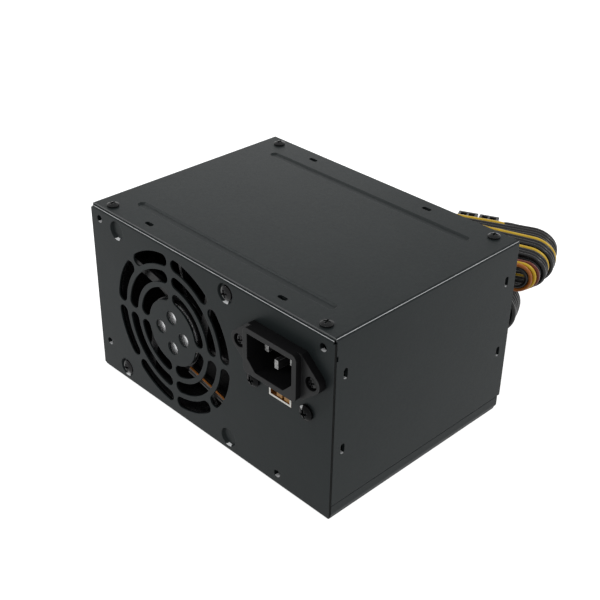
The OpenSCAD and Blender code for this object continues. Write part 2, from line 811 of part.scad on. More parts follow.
// The mains inlet
module inlet_flange_outline() {
    ear_x = inlet_pitch / 2;
    polygon([
        [-rim_w / 2, -rim_h / 2], [rim_w / 2, -rim_h / 2], [ear_x + ear_r * 0.5, -ear_r * 0.87],
        [ear_x + ear_r * 0.5, ear_r * 0.87], [rim_w / 2, rim_h / 2], [-rim_w / 2, rim_h / 2],
        [-ear_x - ear_r * 0.5, ear_r * 0.87], [-ear_x - ear_r * 0.5, -ear_r * 0.87]
    ]);
    for (s = [-1, 1]) translate([s * ear_x, 0]) circle(ear_r);
}

module inlet_body() {
    color(black_plastic) translate([inlet_x, 0, inlet_z]) difference() {
        union() {
            to_front(front_y, inlet_flange) inlet_flange_outline();
            to_front(front_y, inlet_rim) round_rect(rim_w, rim_h, rim_corner_r);
            to_front(inlet_back_y, inlet_back_y - front_y + eps)
                chamfered(inlet_body_w, inlet_body_h, inlet_body_chamfer);
        }
        to_front(inlet_floor_y, inlet_depth + 1) chamfered(inlet_open_w, inlet_open_h, inlet_chamfer);
        for (s = [-1, 1]) {
            rod_y(s * inlet_pitch / 2, 0, inlet_recess_d / 2, flange_y - 1, flange_y + inlet_recess);
            rod_y(s * inlet_pitch / 2, 0, screw_hole_r + cut_fit, flange_y - 1, front_y + 1);
        }
        inlet_blades(cut_fit / 4);
    }
}

// Three blades about the inlet's centre, grown by a fit where they cut their slots
module inlet_blades(fit) {
    for (b = [[-pin_pitch / 2, pin_line_z, live_tip_y], [pin_pitch / 2, pin_line_z, live_tip_y],
              [0, -pin_line_z, earth_tip_y]]) {
        translate([b.x - pin_w / 2 - fit, b.z, b.y - pin_h / 2 - fit])
            cube([pin_w + 2 * fit, inlet_back_y + eps - b.z, pin_h + 2 * fit]);
        translate([b.x - tab_w / 2, inlet_back_y, b.y - pin_h / 2]) cube([tab_w, tab_l, pin_h]);
    }
}

module inlet_pins() {
    color(bare_steel) translate([inlet_x, 0, inlet_z]) inlet_blades(0);
}

module inlet_screws() {
    color(black_steel) for (s = [-1, 1])
        translate([inlet_x + s * inlet_pitch / 2, flange_y + inlet_recess, inlet_z]) rotate([90, 0, 0])
            pan_screw(inlet_head_d, inlet_head_h, screw_r, face_in_y + nut_t + 1 - flange_y - inlet_recess);
}

module inlet_nuts() {
    color(bare_steel) for (s = [-1, 1]) translate([inlet_x + s * inlet_pitch / 2, 0, inlet_z]) difference() {
        translate([0, face_in_y, 0]) rotate([-90, 0, 0]) cylinder(h = nut_t, r = nut_r, $fn = 6);
        rod_y(0, 0, screw_hole_r, face_in_y - 1, face_in_y + nut_t + 1);
    }
}

// The voltage selector
module selector_body() {
    inner_h = sel_win_h + 1;
    floor_y = sel_plate_y + sel_foot_t + sel_fit;
    color("#e8e6df") difference() {
        union() {
            translate([sel_x, 0, sel_z]) {
                to_front(sel_plate_y, sel_plate_t) stadium(sel_plate_w, sel_plate_h);
                to_front(sel_plate_y, sel_plate_y - front_y)
                    square([sel_win_w - 2 * cut_fit, sel_win_h - 2 * cut_fit], center = true);
            }
            translate([sel_x - sel_body_w / 2, sel_plate_y - eps, sel_z - sel_body_h / 2])
                cube([sel_body_w, sel_body_d, sel_body_h]);
        }
        // track of the slider's foot, and the mouth that its knob passes
        translate([sel_x - sel_body_w / 2 + sel_wall, sel_plate_y - sel_fit / 2, sel_z - inner_h / 2])
            cube([sel_body_w - 2 * sel_wall, floor_y - sel_plate_y + sel_fit / 2, inner_h]);
        translate([sel_x, 0, sel_z]) to_front(sel_plate_y, sel_plate_y - front_y + 1)
            square([sel_open_w, sel_open_h], center = true);
        for (s = [-1, 1])
            rod_y(sel_x + s * sel_pitch / 2, sel_z, screw_hole_r, face_in_y - 1, sel_plate_y + 1);
    }
}

module selector_slider() {
    foot_y = sel_plate_y + sel_fit / 2;
    color("#d2691e") difference() {
        union() {
            translate([sel_knob_x - sel_knob_w / 2, sel_knob_y, sel_z - sel_knob_h / 2])
                cube([sel_knob_w, foot_y - sel_knob_y + eps, sel_knob_h]);
            translate([sel_knob_x - sel_foot_w / 2, foot_y, sel_z - sel_win_h / 2])
                cube([sel_foot_w, sel_foot_t, sel_win_h]);
        }
        translate([sel_knob_x - sel_slot_w / 2, sel_knob_y - 1, sel_z - sel_knob_h])
            cube([sel_slot_w, 2.2, 2 * sel_knob_h]);
    }
}

module selector_screws() {
    color(black_steel) for (s = [-1, 1])
        translate([sel_x + s * sel_pitch / 2, front_y, sel_z]) rotate([90, 0, 0])
            pan_screw(sel_head_d, sel_head_h, screw_r, sel_screw_l);
}

// The board and its carriers
module main_board() {
    color(board_green) difference() {
        translate([-board_half_w, board_front_y, board_z]) cube([2 * board_half_w, board_d, board_t]);
        for (p = board_holes)
            translate([p.x, p.y, board_z - 1]) cylinder(h = board_t + 2, r = screw_hole_r + cut_fit);
    }
}

module insulating_sheet() {
    color("#d8d2b8") difference() {
        translate([-board_half_w, board_front_y, sheet]) cube([2 * board_half_w, board_d, film_t]);
        for (p = board_holes) translate([p.x, p.y, 0]) cylinder(h = 3, r = post_r + cut_fit);
    }
}

module board_standoffs() {
    color("#b08d3c") for (p = board_holes) translate([p.x, p.y, sheet]) difference() {
        cylinder(h = board_z - sheet, r = post_r, $fn = 6);
        translate([0, 0, 1.5]) cylinder(h = board_z, r = screw_hole_r);
    }
}

module board_screws() {
    color(bare_steel) for (p = board_holes)
        translate([p.x, p.y, board_top_z]) pan_screw(cover_head_d, board_screw_h, screw_r, board_t + 4);
}

// A heat sink plate standing along Y, its fins towards one side
module heatsink(x, side) {
    color(aluminium) {
        translate([x - sink_t / 2, sink_front_y, board_top_z]) cube([sink_t, sink_l, sink_h]);
        for (i = [0:sink_fins - 1])
            translate([x + side * (sink_t + sink_fin_l) / 2, sink_front_y + sink_l / 2,
                       board_top_z + sink_h - sink_fin_t / 2 - i * sink_fin_pitch])
                cube([sink_fin_l + 2 * eps, sink_l, sink_fin_t], center = true);
    }
}

module primary_heatsink() { heatsink(prim_x, -1); }

module secondary_heatsink() { heatsink(sec_x, 1); }

// Three-legged power devices flat against a heat sink's plain side
module devices(x, side) {
    face_x = x + side * sink_t / 2;
    color(black_plastic) for (t = device_at)
        translate([face_x + side * device_t / 2, sink_front_y + t * sink_l, device_z]) difference() {
            union() {
                translate([0, 0, device_h / 2]) cube([device_t, device_w, device_h], center = true);
                for (k = [-1:1])
                    translate([0, k * 2.5, (board_top_z - device_z) / 2 + 1])
                        cube([device_leg_t, device_leg_t, device_z - board_top_z + 2], center = true);
            }
            translate([0, 0, device_h - 3]) rotate([0, 90, 0])
                cylinder(h = 2 * device_t, r = screw_hole_r, center = true);
        }
}

module power_transistors() { devices(prim_x, 1); }

module output_rectifiers() { devices(sec_x, -1); }

module transistor_screws() {
    color(bare_steel) for (d = [[prim_x, 1], [sec_x, -1]], t = device_at)
        translate([d[0] + d[1] * (sink_t / 2 + device_t), sink_front_y + t * sink_l, device_hole_z])
            rotate([0, d[1] * 90, 0]) pan_screw(cover_head_d, cover_head_h, screw_r, device_t - 0.2);
}

// A wound transformer: a core that frames a taped winding
module transformer(x, y, size) {
    leg = size.x * 0.2;
    bobbin_h = size.z * 0.14;
    translate([x, y, board_top_z]) {
        color(black_plastic) translate([-size.x / 2, -size.y / 2, 0]) cube([size.x, size.y, bobbin_h]);
        color(ferrite) translate([-size.x / 2, -size.y * 0.26, bobbin_h]) difference() {
            cube([size.x, size.y * 0.52, size.z - bobbin_h]);
            translate([leg, -1, leg]) cube([size.x - 2 * leg, size.y, size.z - bobbin_h - 2 * leg]);
        }
        color(tape) translate([-size.x / 2 + leg, -size.y / 2 + 1, bobbin_h + leg])
            cube([size.x - 2 * leg, size.y - 2, size.z - bobbin_h - 2 * leg]);
    }
}

module main_transformer() { transformer(trafo_x, mid_row_y, trafo_size); }

module standby_transformer() { transformer(trafo_x, board_rear_y - 13, standby_size); }

module driver_transformer() { transformer(trafo_x, board_front_y + 2 + driver_size.y / 2, driver_size); }

// An upright can capacitor with a grooved neck
module can(x, y, r, h) {
    translate([x, y, board_top_z]) difference() {
        cylinder(h = h, r = r);
        translate([0, 0, h - r * 0.35]) rotate_extrude() translate([r + 0.2, 0]) circle(0.7);
        translate([0, 0, h - 0.4]) cylinder(h = 1, r = r * 0.8);
    }
}

module bulk_capacitors() {
    color("#1d2a4a") for (i = [0, 1])
        can(bulk_x, board_rear_y - 3 - bulk_r - i * (2 * bulk_r + 2), bulk_r, bulk_h);
}

module output_capacitors() {
    color("#2b2b30") for (i = [0, 1], j = [0, 1])
        can(toroid_x + (i - 0.5) * can_step, mid_row_y + 4 + j * can_step, can_r, can_h);
}

// A wound ring lying on the board, its turns clear of each other at the inside
module wound_ring(x, y, r, w, turns) {
    wire_w = 0.6 * 2 * PI * (r - w) / turns;
    translate([x, y, board_top_z + w]) {
        color(tape) rotate_extrude() translate([r, 0]) circle(w * 0.72);
        color(copper) for (i = [0:turns - 1])
            rotate([0, 0, i * 360 / turns]) translate([r, 0, 0]) rotate([90, 0, 0])
                cylinder(h = wire_w, r = w, center = true);
    }
}

module output_toroid() {
    wound_ring(toroid_x, board_front_y + toroid_r + toroid_wire + part_gap, toroid_r, toroid_wire, 14);
}

module line_choke() { wound_ring(choke_x, choke_y, choke_r, choke_wire, 8); }

module x_capacitor() {
    color("#c9b23a") translate([x_cap_x, board_front_y + 3.6, board_top_z]) cube(x_cap_size);
}

module bridge_rectifier() {
    key = [2.4, 4, 1];
    color(black_plastic) translate([bridge_x, mid_row_y - bridge_size.y / 4, board_top_z]) {
        cube(bridge_size);
        translate([(bridge_size.x - key.x) / 2, bridge_size.y - key.y, bridge_size.z - eps]) cube(key);
    }
}

module fuse() {
    color("#cfd8d8") translate([fuse_x, fuse_y, board_top_z + fuse_r]) rotate([0, 90, 0]) {
        cylinder(h = fuse_l, r = fuse_r - 0.3);
        for (z = [0, fuse_l - fuse_cap_l]) translate([0, 0, z]) cylinder(h = fuse_cap_l, r = fuse_r);
    }
}

module thermistor() {
    leg = 2;
    color("#30382e") translate([therm_x, mid_row_y, board_top_z + therm_r + leg]) {
        rotate([0, 90, 0]) cylinder(h = therm_t, r = therm_r, center = true);
        for (s = [-1, 1]) translate([0, s * 2.5, -therm_r - leg]) cylinder(h = therm_r, r = 0.5);
    }
}

// Wires held inside the case
module inlet_wires() {
    wire_d = 2.2;
    y = inlet_back_y + tab_l;
    ends = [
        [-pin_pitch / 2, pin_line_z, "#5a3a22"], [pin_pitch / 2, pin_line_z, "#2d4f93"],
        [0, -pin_line_z, "#5f7f2e"]
    ];
    for (e = ends) {
        x = inlet_x + e.x;
        z = inlet_z + e.y;
        color(e[2]) tube([
            [x, y, z], [x, y + 4, z - 0.5], [x + 0.6, y + 8, z - 5], [x + 1, y + 9, z - 16],
            [x + 1.4, y + 9.4, board_top_z + 14], [x + 1.6, y + 9.6, board_top_z]
        ], wire_d);
    }
}

module selector_wires() {
    wire_d = 1.8;
    y = sel_plate_y + sel_body_d - eps;
    color("#8a2f24") for (s = [-1, 1]) {
        x = sel_x + s * 5;
        tube([
            [x, y, sel_z], [x, y + 3, sel_z - 0.5], [x - 1, y + 7, sel_z - 5],
            [x - 6, board_front_y - 4, board_top_z + 11], [x - 8, board_front_y + 1.4, board_top_z + 5],
            [x - 8.2, board_front_y + 1.8, board_top_z]
        ], wire_d);
    }
}

function loom_start(off) = [grommet_x + off.x, pan_rear_y - sheet / 2, grommet_z + off.y];
// A lead from the board up to the start of its loom: shares of its reach, its drop and its shift.
// Each lead is given by its reach and its landing place beside the output heat sink.
function loom_lead(off, reach, land_x) =
    let (p = loom_start(off), drop = p.z - board_top_z, side = land_x - p.x)
    [for (q = [[1, 1, 1], [1, 0.88, 1], [0.97, 0.6, 0.7], [0.85, 0.26, 0.3], [0.6, 0.07, 0.1],
               [0.3, 0, 0], [0, 0, 0]])
        [p.x + side * q.z, p.y - loom_joint - reach * q.x, p.z - drop * q.y]];

module output_leads() {
    color(black_plastic) {
        tube(loom_lead(loom_12v_off, lead_12v.x, sec_x - lead_12v.y), loom_12v_d);
        tube(loom_lead(loom_drive_off, lead_drive.x, sec_x - lead_drive.y), loom_drive_d);
        tube(loom_lead(loom_main_off, lead_main.x, sec_x - lead_main.y), loom_main_d, 10);
    }
}

// Cables outside the case
module grommet() {
    inner_y = cable_in_y - grommet_flange_t;
    outer_y = pan_rear_y + grommet_flange_t;
    color(black_plastic) difference() {
        union() {
            rod_y(grommet_x, grommet_z, grommet_hole_d / 2, inner_y, outer_y);
            rod_y(grommet_x, grommet_z, grommet_flange_r, inner_y, cable_in_y);
            rod_y(grommet_x, grommet_z, grommet_flange_r, pan_rear_y, outer_y);
        }
        rod_y(grommet_x, grommet_z, grommet_bore_d / 2, inner_y - 1, outer_y + 1);
    }
}

// The tails of the 12 V loom leave the left end of the hank, run behind it and rise into their plugs
module loom_12v() {
    mid_v = plug_12v_v + plug_12v_size.y / 2;
    low_z = plug_12v_top - plug_12v_size.z;
    color(tape) {
        tube(concat([loom_start(loom_12v_off)], route_12v), loom_12v_d);
        rotate([0, 0, hank_turn]) for (i = [0, 1]) {
            u = plug_12v_u[i] + plug_12v_size.x / 2;
            z = low_z - tail_12v_drop[i];
            rise = [for (q = tail_12v_bend) [max(u + q.x, hank_left_u - 2), mid_v, z + q.y]];
            tube(concat(tail_12v[i], rise, [[u, mid_v, low_z]]), tail_12v_d);
        }
    }
}

module loom_drive() {
    rear_u = plug_drive_u + plug_drive_size.x;
    mid_v = plug_drive_v + plug_drive_size.y / 2;
    top_z = drive_hank[1];
    mid_z = top_z + plug_drive_size.z / 2;
    color("#c8641e") {
        tube(concat([loom_start(loom_drive_off)], route_drive), loom_drive_d);
        rotate([0, 0, hank_turn]) tube([
            [rear_u, mid_v, mid_z], [rear_u + 4, mid_v, mid_z], [rear_u + 9, mid_v, mid_z - 0.8],
            [rear_u + 15, mid_v, top_z - 3]
        ], tail_drive_d);
    }
}

module loom_main() {
    rear_u = plug_main_u + plug_main_size.x;
    mid_v = plug_main_v + plug_main_size.y / 2;
    mid_z = plug_main_size.z / 2;
    color(black_plastic) {
        tube(concat([loom_start(loom_main_off)], route_main), loom_main_d, 10);
        rotate([0, 0, hank_turn]) tube([
            [rear_u, mid_v, mid_z], [rear_u + 5, mid_v, mid_z], [rear_u + 11, mid_v - 2.6, mid_z + 0.4],
            [rear_u + 20, mid_v - 8, mid_z + 2]
        ], loom_main_d, 10);
    }
}

// A folded hank: [bottom, top, right fold, near side, far side] in the hank frame
module hank(h) {
    r = (h[1] - h[0]) / 2;
    rotate([0, 0, hank_turn]) translate([(hank_left_u + h[2]) / 2, h[4], h[0] + r]) rotate([90, 0, 0])
        linear_extrude(h[4] - h[3]) stadium(h[2] - hank_left_u + 2 * r, 2 * r);
}

module hank_12v() { color(tape) hank(twelve_hank); }

module hank_drive() { color("#c8641e") hank(drive_hank); }

module hank_main() {
    color(black_plastic) {
        hank(main_hank);
        hank(main_far_hank);
    }
}

// A strap round a hank, with its locking head on the near or the far side
module tie(h, u, side) {
    head = 5;
    head_t = 2;
    wide = h[4] - h[3];
    high = h[1] - h[0];
    rotate([0, 0, hank_turn]) translate([u, h[3], h[0]]) {
        difference() {
            translate([0, -tie_t, -tie_t]) cube([tie_w, wide + 2 * tie_t, high + 2 * tie_t]);
            translate([-1, 0, 0]) cube([tie_w + 2, wide, high]);
        }
        translate([tie_w / 2, wide / 2 + side * (wide + 2 * tie_t + head_t - eps) / 2, high / 2])
            cube([head, head_t, head], center = true);
    }
}

module cable_ties() {
    color(black_plastic) {
        tie(main_hank, main_tie_u, -1);
        tie(main_far_hank, main_far_tie_u, 1);
        tie(drive_hank, drive_tie_u, -1);
        tie(twelve_hank, twelve_tie_u, 1);
    }
}

// A plug housing with square cells in its front end, at -X
module plug_cells(size, rows, columns) {
    for (i = [0:columns - 1], j = [0:rows - 1])
        translate([-1, size.y / 2 + (i - (columns - 1) / 2) * plug_pin_pitch - plug_cell / 2,
                   size.z / 2 + (j - (rows - 1) / 2) * plug_pin_pitch - plug_cell / 2])
            cube([size.x * 0.6, plug_cell, plug_cell]);
}

module plug_main() {
    latch = [11, 8, 2];
    color(black_plastic) rotate([0, 0, hank_turn]) translate([plug_main_u, plug_main_v, 0]) {
        difference() {
            cube(plug_main_size);
            plug_cells(plug_main_size, 2, 12);
        }
        translate([1, (plug_main_size.y - latch.y) / 2, plug_main_size.z - eps]) cube(latch);
    }
}

module plug_12v() {
    latch = [4, 1.4, 11];
    size = plug_12v_size;
    color(black_plastic) for (u = plug_12v_u)
        rotate([0, 0, hank_turn]) translate([u, plug_12v_v, plug_12v_top - size.z]) {
            difference() {
                cube(size);
                translate([0, 0, size.z]) rotate([0, 90, 0]) plug_cells([size.z, size.y, size.x], 2, 2);
            }
            translate([(size.x - latch.x) / 2, size.y - eps, size.z - 1 - latch.z]) cube(latch);
        }
}

module plug_drive() {
    size = plug_drive_size;
    wall = 1.6;
    key = 1.4;
    deep = 7;
    place = [plug_drive_u, plug_drive_v, drive_hank[1]];
    color(black_plastic) rotate([0, 0, hank_turn]) translate(place) difference() {
        cube(size);
        translate([-1, wall, wall]) cube([deep, size.y - 2 * wall, 2.4]);
        translate([-1, wall, wall]) cube([deep, key, size.z]);
    }
}

base_pan();
top_cover();
cover_screws();
fan_frame();
fan_screws();
fan_label();
fan_bearing();
fan_stator();
fan_rotor();
fan_shaft();
fan_magnet();
fan_lead();
inlet_body();
inlet_pins();
inlet_screws();
inlet_nuts();
selector_body();
selector_slider();
selector_screws();
main_board();
insulating_sheet();
board_standoffs();
board_screws();
primary_heatsink();
secondary_heatsink();
power_transistors();
output_rectifiers();
transistor_screws();
main_transformer();
standby_transformer();
driver_transformer();
bulk_capacitors();
output_capacitors();
output_toroid();
line_choke();
x_capacitor();
bridge_rectifier();
fuse();
thermistor();
inlet_wires();
selector_wires();
output_leads();
grommet();
loom_12v();
loom_drive();
loom_main();
hank_12v();
hank_drive();
hank_main();
cable_ties();
plug_12v();
plug_drive();
plug_main();
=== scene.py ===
import math
import random

import bmesh
import bpy
from mathutils import Matrix, Vector


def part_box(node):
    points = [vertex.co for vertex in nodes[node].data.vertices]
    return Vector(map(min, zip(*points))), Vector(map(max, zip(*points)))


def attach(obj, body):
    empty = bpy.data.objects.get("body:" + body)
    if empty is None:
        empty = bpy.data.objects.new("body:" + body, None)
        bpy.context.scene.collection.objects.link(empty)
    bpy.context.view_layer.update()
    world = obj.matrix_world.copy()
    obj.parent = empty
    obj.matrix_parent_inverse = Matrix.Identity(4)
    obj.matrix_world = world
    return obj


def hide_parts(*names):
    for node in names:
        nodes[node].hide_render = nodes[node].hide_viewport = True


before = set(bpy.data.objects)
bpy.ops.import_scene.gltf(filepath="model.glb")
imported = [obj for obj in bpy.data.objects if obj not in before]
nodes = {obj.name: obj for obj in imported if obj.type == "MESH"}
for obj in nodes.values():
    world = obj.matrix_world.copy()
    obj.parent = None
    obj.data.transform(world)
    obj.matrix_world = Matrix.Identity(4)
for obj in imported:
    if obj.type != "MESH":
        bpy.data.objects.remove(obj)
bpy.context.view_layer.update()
random.seed(7)
mm = 0.001
print("frame loaded:", len(nodes), "nodes")

# camera

cameraView = {
    "azimuth": 45.3,
    "elevation": 31.39,
    "roll": 0.99,
    "distance": 488.58,
    "target": (1.11, 0.0, 46.9),
    "lens": 65.84,
    "sensor": 36,
    "clipStart": 0.01,
}


def makeCamera(view):
    az = math.radians(view["azimuth"])
    el = math.radians(view["elevation"])
    roll = math.radians(view["roll"])
    back = Vector((math.sin(az) * math.cos(el), -math.cos(az) * math.cos(el), math.sin(el)))
    right = (-back).cross(Vector((0, 0, 1))).normalized()
    up = right.cross(-back)
    turnedRight = right * math.cos(roll) + up * math.sin(roll)
    turnedUp = up * math.cos(roll) - right * math.sin(roll)
    place = (Vector(view["target"]) + back * view["distance"]) * mm
    data = bpy.data.cameras.new("photoCamera")
    data.lens = view["lens"]
    data.sensor_width = view["sensor"]
    data.clip_start = view["clipStart"]
    camera = bpy.data.objects.new("photoCamera", data)
    bpy.context.scene.collection.objects.link(camera)
    turn = Matrix((turnedRight, turnedUp, back)).transposed().to_4x4()
    camera.matrix_world = Matrix.Translation(place) @ turn
    bpy.context.scene.camera = camera


makeCamera(cameraView)
print("camera placed")

# output cables: every wire leaves the grommet in a bundle, spreads flat,
# runs round its hank and ends in a plug

cableSet = {
    "hankTurn": 25.0,  # degrees between the hanks and the back of the case
    "hankLeft": 22.0,  # where the left folds begin (u)
    "meetU": 8.0,  # where the route from the grommet meets its hank
    "firstU": 16.0,  # where the first run begins
    "loose": 0.5,  # how unevenly the folds lie
    "ringTurn": 0.3,  # turn of the bundle's outer ring, in wires
    "spreadFrom": 1.5,  # route points before the bundle spreads
    "spreadEnds": 2.0,  # route points that don't count in the spread
    "runSteps": 9,  # points on a run to the right
    "foldSteps": 12,  # points on a fold
    "backStep": 7.0,  # about the length of a step on the way back
    "crossRate": 4.0,  # how quickly crossing wires change places
    "crossWait": 0.46,  # how late they begin
    "perSpan": 3,  # points on the smooth line for each given one
    "bevelSteps": 3,  # how round the wires are
}

# each pass round a hank: where it starts (v), the radii of its layers
# from the outside in, its right fold (u) and the rise of its lower run
cables = {
    "main": {
        "wireD": 2.2,
        "pitch": 2.26,
        "colours": (("black",) * 6, ("black",) * 6, ("black",) * 4),
        "core": 5,  # wires in the middle of the bundle
        "bottom": 2.3,
        "passes": (
            {"near": 62.2, "layers": (15.8, 13.5, 11.2), "right": 76.1, "lift": 9.4},
            {"near": 77.7, "layers": (11.1, 8.8, 6.6), "right": 69.0},
            {"near": 91.3, "layers": (11.1, 8.8, 6.6), "right": 69.0},
        ),
        "swaps": {},
        "crossing": (),
        "stretch": 1.0,
        "stagger": 0.0,  # how much further right each next column folds
        "fromTop": True,
        "route": [(-45.7, 53.1, 33), (-45.7, 57, 33), (-45, 64, 31.2), (-41.5, 68.4, 28.6),
                  (-36, 69, 27.4), (-30, 66.8, 28.6)],
        "nodes": ("loom_main", "hank_main"),
        "plug": "plug_main",
    },
    "processor": {
        "wireD": 2.2,
        "pitch": 2.45,
        "colours": (("black", "black", "black", "yellow"), ("black", "black", "yellow", "black")),
        "core": 1,
        "bottom": 27.9,
        "passes": (
            {"near": 77.7, "layers": (9.8, 7.6), "right": 88.3, "lift": 3.0},
            {"near": 88.9, "layers": (9.8, 7.6), "right": 88.6},
            {"near": 98.7, "layers": (9.8, 7.6), "right": 87.7},
        ),
        "swaps": {2: (3,)},  # columns whose outer and inner wires have changed places
        "crossing": (3,),  # columns whose wires change places again on the last run
        "stretch": 1.25,  # how much longer than high the right folds are
        "stagger": 0.0,
        "fromTop": False,
        "route": [(-37.4, 53.1, 36.1), (-37.4, 57, 36.1), (-37.4, 64, 35.4), (-36.9, 69, 34.2),
                  (-35, 72.8, 32.2), (-31.6, 75.1, 30.2)],
        "nodes": ("loom_12v", "hank_12v"),
        "plug": "plug_12v",
    },
    "drive": {
        "wireD": 1.8,
        "pitch": 1.9,
        "colours": (("orange", "yellow", "red"), ("black", "black")),
        "core": 0,
        "bottom": 37.1,
        "passes": (
            {"near": 61.9, "layers": (6.6, 4.7), "right": 86.2},
            {"near": 67.6, "layers": (6.6, 4.7), "right": 74.0},
        ),
        "swaps": {},
        "crossing": (),
        "stretch": 1.0,
        "stagger": 1.4,
        "fromTop": False,
        "route": [(-38.2, 53.1, 29.3), (-38.2, 57, 29.3), (-36.2, 59.8, 28.9), (-32, 60.4, 30.4),
                  (-27.5, 60.6, 33.4), (-23.5, 60.8, 36.2)],
        "nodes": ("loom_drive", "hank_drive"),
        "plug": "plug_drive",
    },
}

# where the wires go in each plug: mouth, rear and endU lie along the hank, mid and v across it
plugRows = {
    "main": {
        "mouth": -17.0, "rear": -3.0, "mid": 98.5, "z": (2.9, 7.1), "pitch": 4.2, "cells": 12, "endU": 22.0,
        "bend": ((6.0, 0.08, 0.0), (13.0, 0.45, 0.4), (19.0, 0.86, 0.9)),  # back, share aside, share up
        "straight": 2.0, "sunk": 4.0,
    },
    "processor": {
        "mid": (61.0, 50.0), "v": 112.6, "top": 45.0, "low": 30.0, "pitch": 4.2, "endU": 22.0,
        "outside": 46.4, "axisZ": 37.7, "drop": 7.0, "step": 2.3,
        # shares of the radius to the left, more to the left, share aside
        "turn": ((0.8, 0.0, 0.2), (1.0, 1.5, 0.45), (1.0, 0.0, 0.7), (0.4, 0.0, 0.92), (0.0, 0.0, 1.0)),
        "fall": 0.4, "sag": 2.0, "over": (2.5, 0.4),
        "bend": ((-6.2, 0.0), (-2.6, 0.8), (-0.6, 3.0), (0.0, 6.4)),
        "straight": 0.4, "sunk": 4.0,
    },
    "drive": {
        "mouth": 42.0, "rear": 58.0, "mid": 67.0, "z": 54.0, "low": 51.2, "pitch": 3.4, "cells": 5,
        "endU": 72.0, "steps": 4, "straight": 1.5, "sunk": 4.0,
    },
}

turnCos = math.cos(math.radians(cableSet["hankTurn"]))
turnSin = math.sin(math.radians(cableSet["hankTurn"]))


def fromHank(u, v, z):
    return Vector((u * turnCos - v * turnSin, u * turnSin + v * turnCos, z))


def smooth(t):
    t = min(1.0, max(0.0, t))
    return t * t * (3 - 2 * t)


def bundleSpots(count, inner, d):
    # places of the wires in a round bundle, as (right, up)
    outer = count - inner
    innerR = d / 2 / math.sin(math.pi / inner) if inner > 1 else 0.0
    outerR = d / 2 / math.sin(math.pi / outer)
    if inner:
        outerR = max(outerR, innerR + d)
    spots = []
    for number, r, turn in ((inner, innerR, 0.0), (outer, outerR, cableSet["ringTurn"])):
        for i in range(number):
            angle = 2 * math.pi * (i + turn) / number
            spots.append((r * math.cos(angle), r * math.sin(angle)))
    return spots


def sortIntoColumns(spots, colours, lowFirst):
    # the spots furthest right take the column nearest the case
    order = sorted(spots, key=lambda s: -s[0])
    table = {}
    for column in range(len(colours[0])):
        depth = sum(column < len(layer) for layer in colours)
        stack = sorted(order[:depth], key=lambda s: s[1] if lowFirst else -s[1])
        del order[:depth]
        for layer, spot in enumerate(stack):
            table[column, layer] = spot
    return table


def foldTurns():
    # share and angle of each step round a fold
    steps = cableSet["foldSteps"]
    return [(i / steps, -math.pi / 2 + math.pi * i / steps) for i in range(1, steps + 1)]


def hankLine(cable, column, layer, slack, endU):
    # (u, v, z) round the hank: runs to the right, folds, comes back and folds again
    left, stretch, runSteps = cableSet["hankLeft"], cable["stretch"], cableSet["runSteps"]
    sign = -1.0 if cable["fromTop"] else 1.0
    rounds = []
    for number, lap in enumerate(cable["passes"]):
        swapped = column in cable["swaps"].get(number, ())
        r = lap["layers"][1 - layer if swapped else layer]
        middle = cable["bottom"] + lap["layers"][0]
        rounds.append((lap["near"] + column * cable["pitch"], middle - sign * r, middle + sign * r,
                       lap["right"] + slack + column * cable["stagger"], lap.get("lift", 0.0)))
    lastLayers = cable["passes"][-1]["layers"]
    line = []
    for number, (v, start, goal, right, lift) in enumerate(rounds):
        last = number == len(rounds) - 1
        first = cableSet["firstU"] if number == 0 else left
        # the lower run rises by the lift on its way to the right fold
        foldStart = start + (lift if sign > 0 else 0.0)
        foldEnd = goal + (0.0 if sign > 0 else lift)
        r, middle = (foldEnd - foldStart) / 2, (foldEnd + foldStart) / 2
        right -= abs(r) * (stretch - 1)
        for i in range(0 if number == 0 else 1, runSteps + 1):
            rise = (foldStart - start) * smooth(i / runSteps)
            line.append((first + (right - first) * i / runSteps, v, start + rise))
        for _, a in foldTurns():
            line.append((right + stretch * abs(r) * math.cos(a), v, middle + r * math.sin(a)))
        # back along the hank, over to the next pass
        stop = endU if last else left
        nextV, nextStart = (v, None) if last else rounds[number + 1][:2]
        steps = max(2, round((right - stop) / cableSet["backStep"]))
        reach = right - stop + (0.0 if last else math.pi * abs(r))
        crosses = last and column in cable["crossing"]
        otherZ = middle + sign * (sum(lastLayers) - abs(r))
        for i in range(1, steps + 1):
            u = right + (stop - right) * i / steps
            cross = smooth(i / steps * cableSet["crossRate"] - cableSet["crossWait"]) if crosses else 0.0
            aside = math.sin(math.pi * cross) * (cable["wireD"] if abs(r) < lastLayers[0] else 0.0)
            z = foldEnd + (goal - foldEnd) * smooth(i / steps) + (otherZ - goal) * cross
            line.append((u, v + (nextV - v) * (right - u) / reach + aside, z))
        if last:
            break
        r, middle = (nextStart - goal) / 2, (nextStart + goal) / 2
        gone = (right - stop) / reach
        for t, a in foldTurns():
            share = gone + (1 - gone) * t
            line.append((left - abs(r) * math.cos(a), v + (nextV - v) * share, middle + r * math.sin(a)))
    return line


def mainTail(column, layer, end):
    row = plugRows["main"]
    u, v, z = end
    between = layer == 2  # the third layer takes the cells between the others
    cellV = row["mid"] + (2 * column + between - (row["cells"] - 1) / 2) * row["pitch"]
    cellZ = row["z"][(layer + column) % 2 if between else layer]
    line = [(u - back, v + (cellV - v) * aside, z + (cellZ - z) * up) for back, aside, up in row["bend"]]
    return line + [(row["rear"] + row["straight"], cellV, cellZ), (row["rear"] - row["sunk"], cellV, cellZ)]


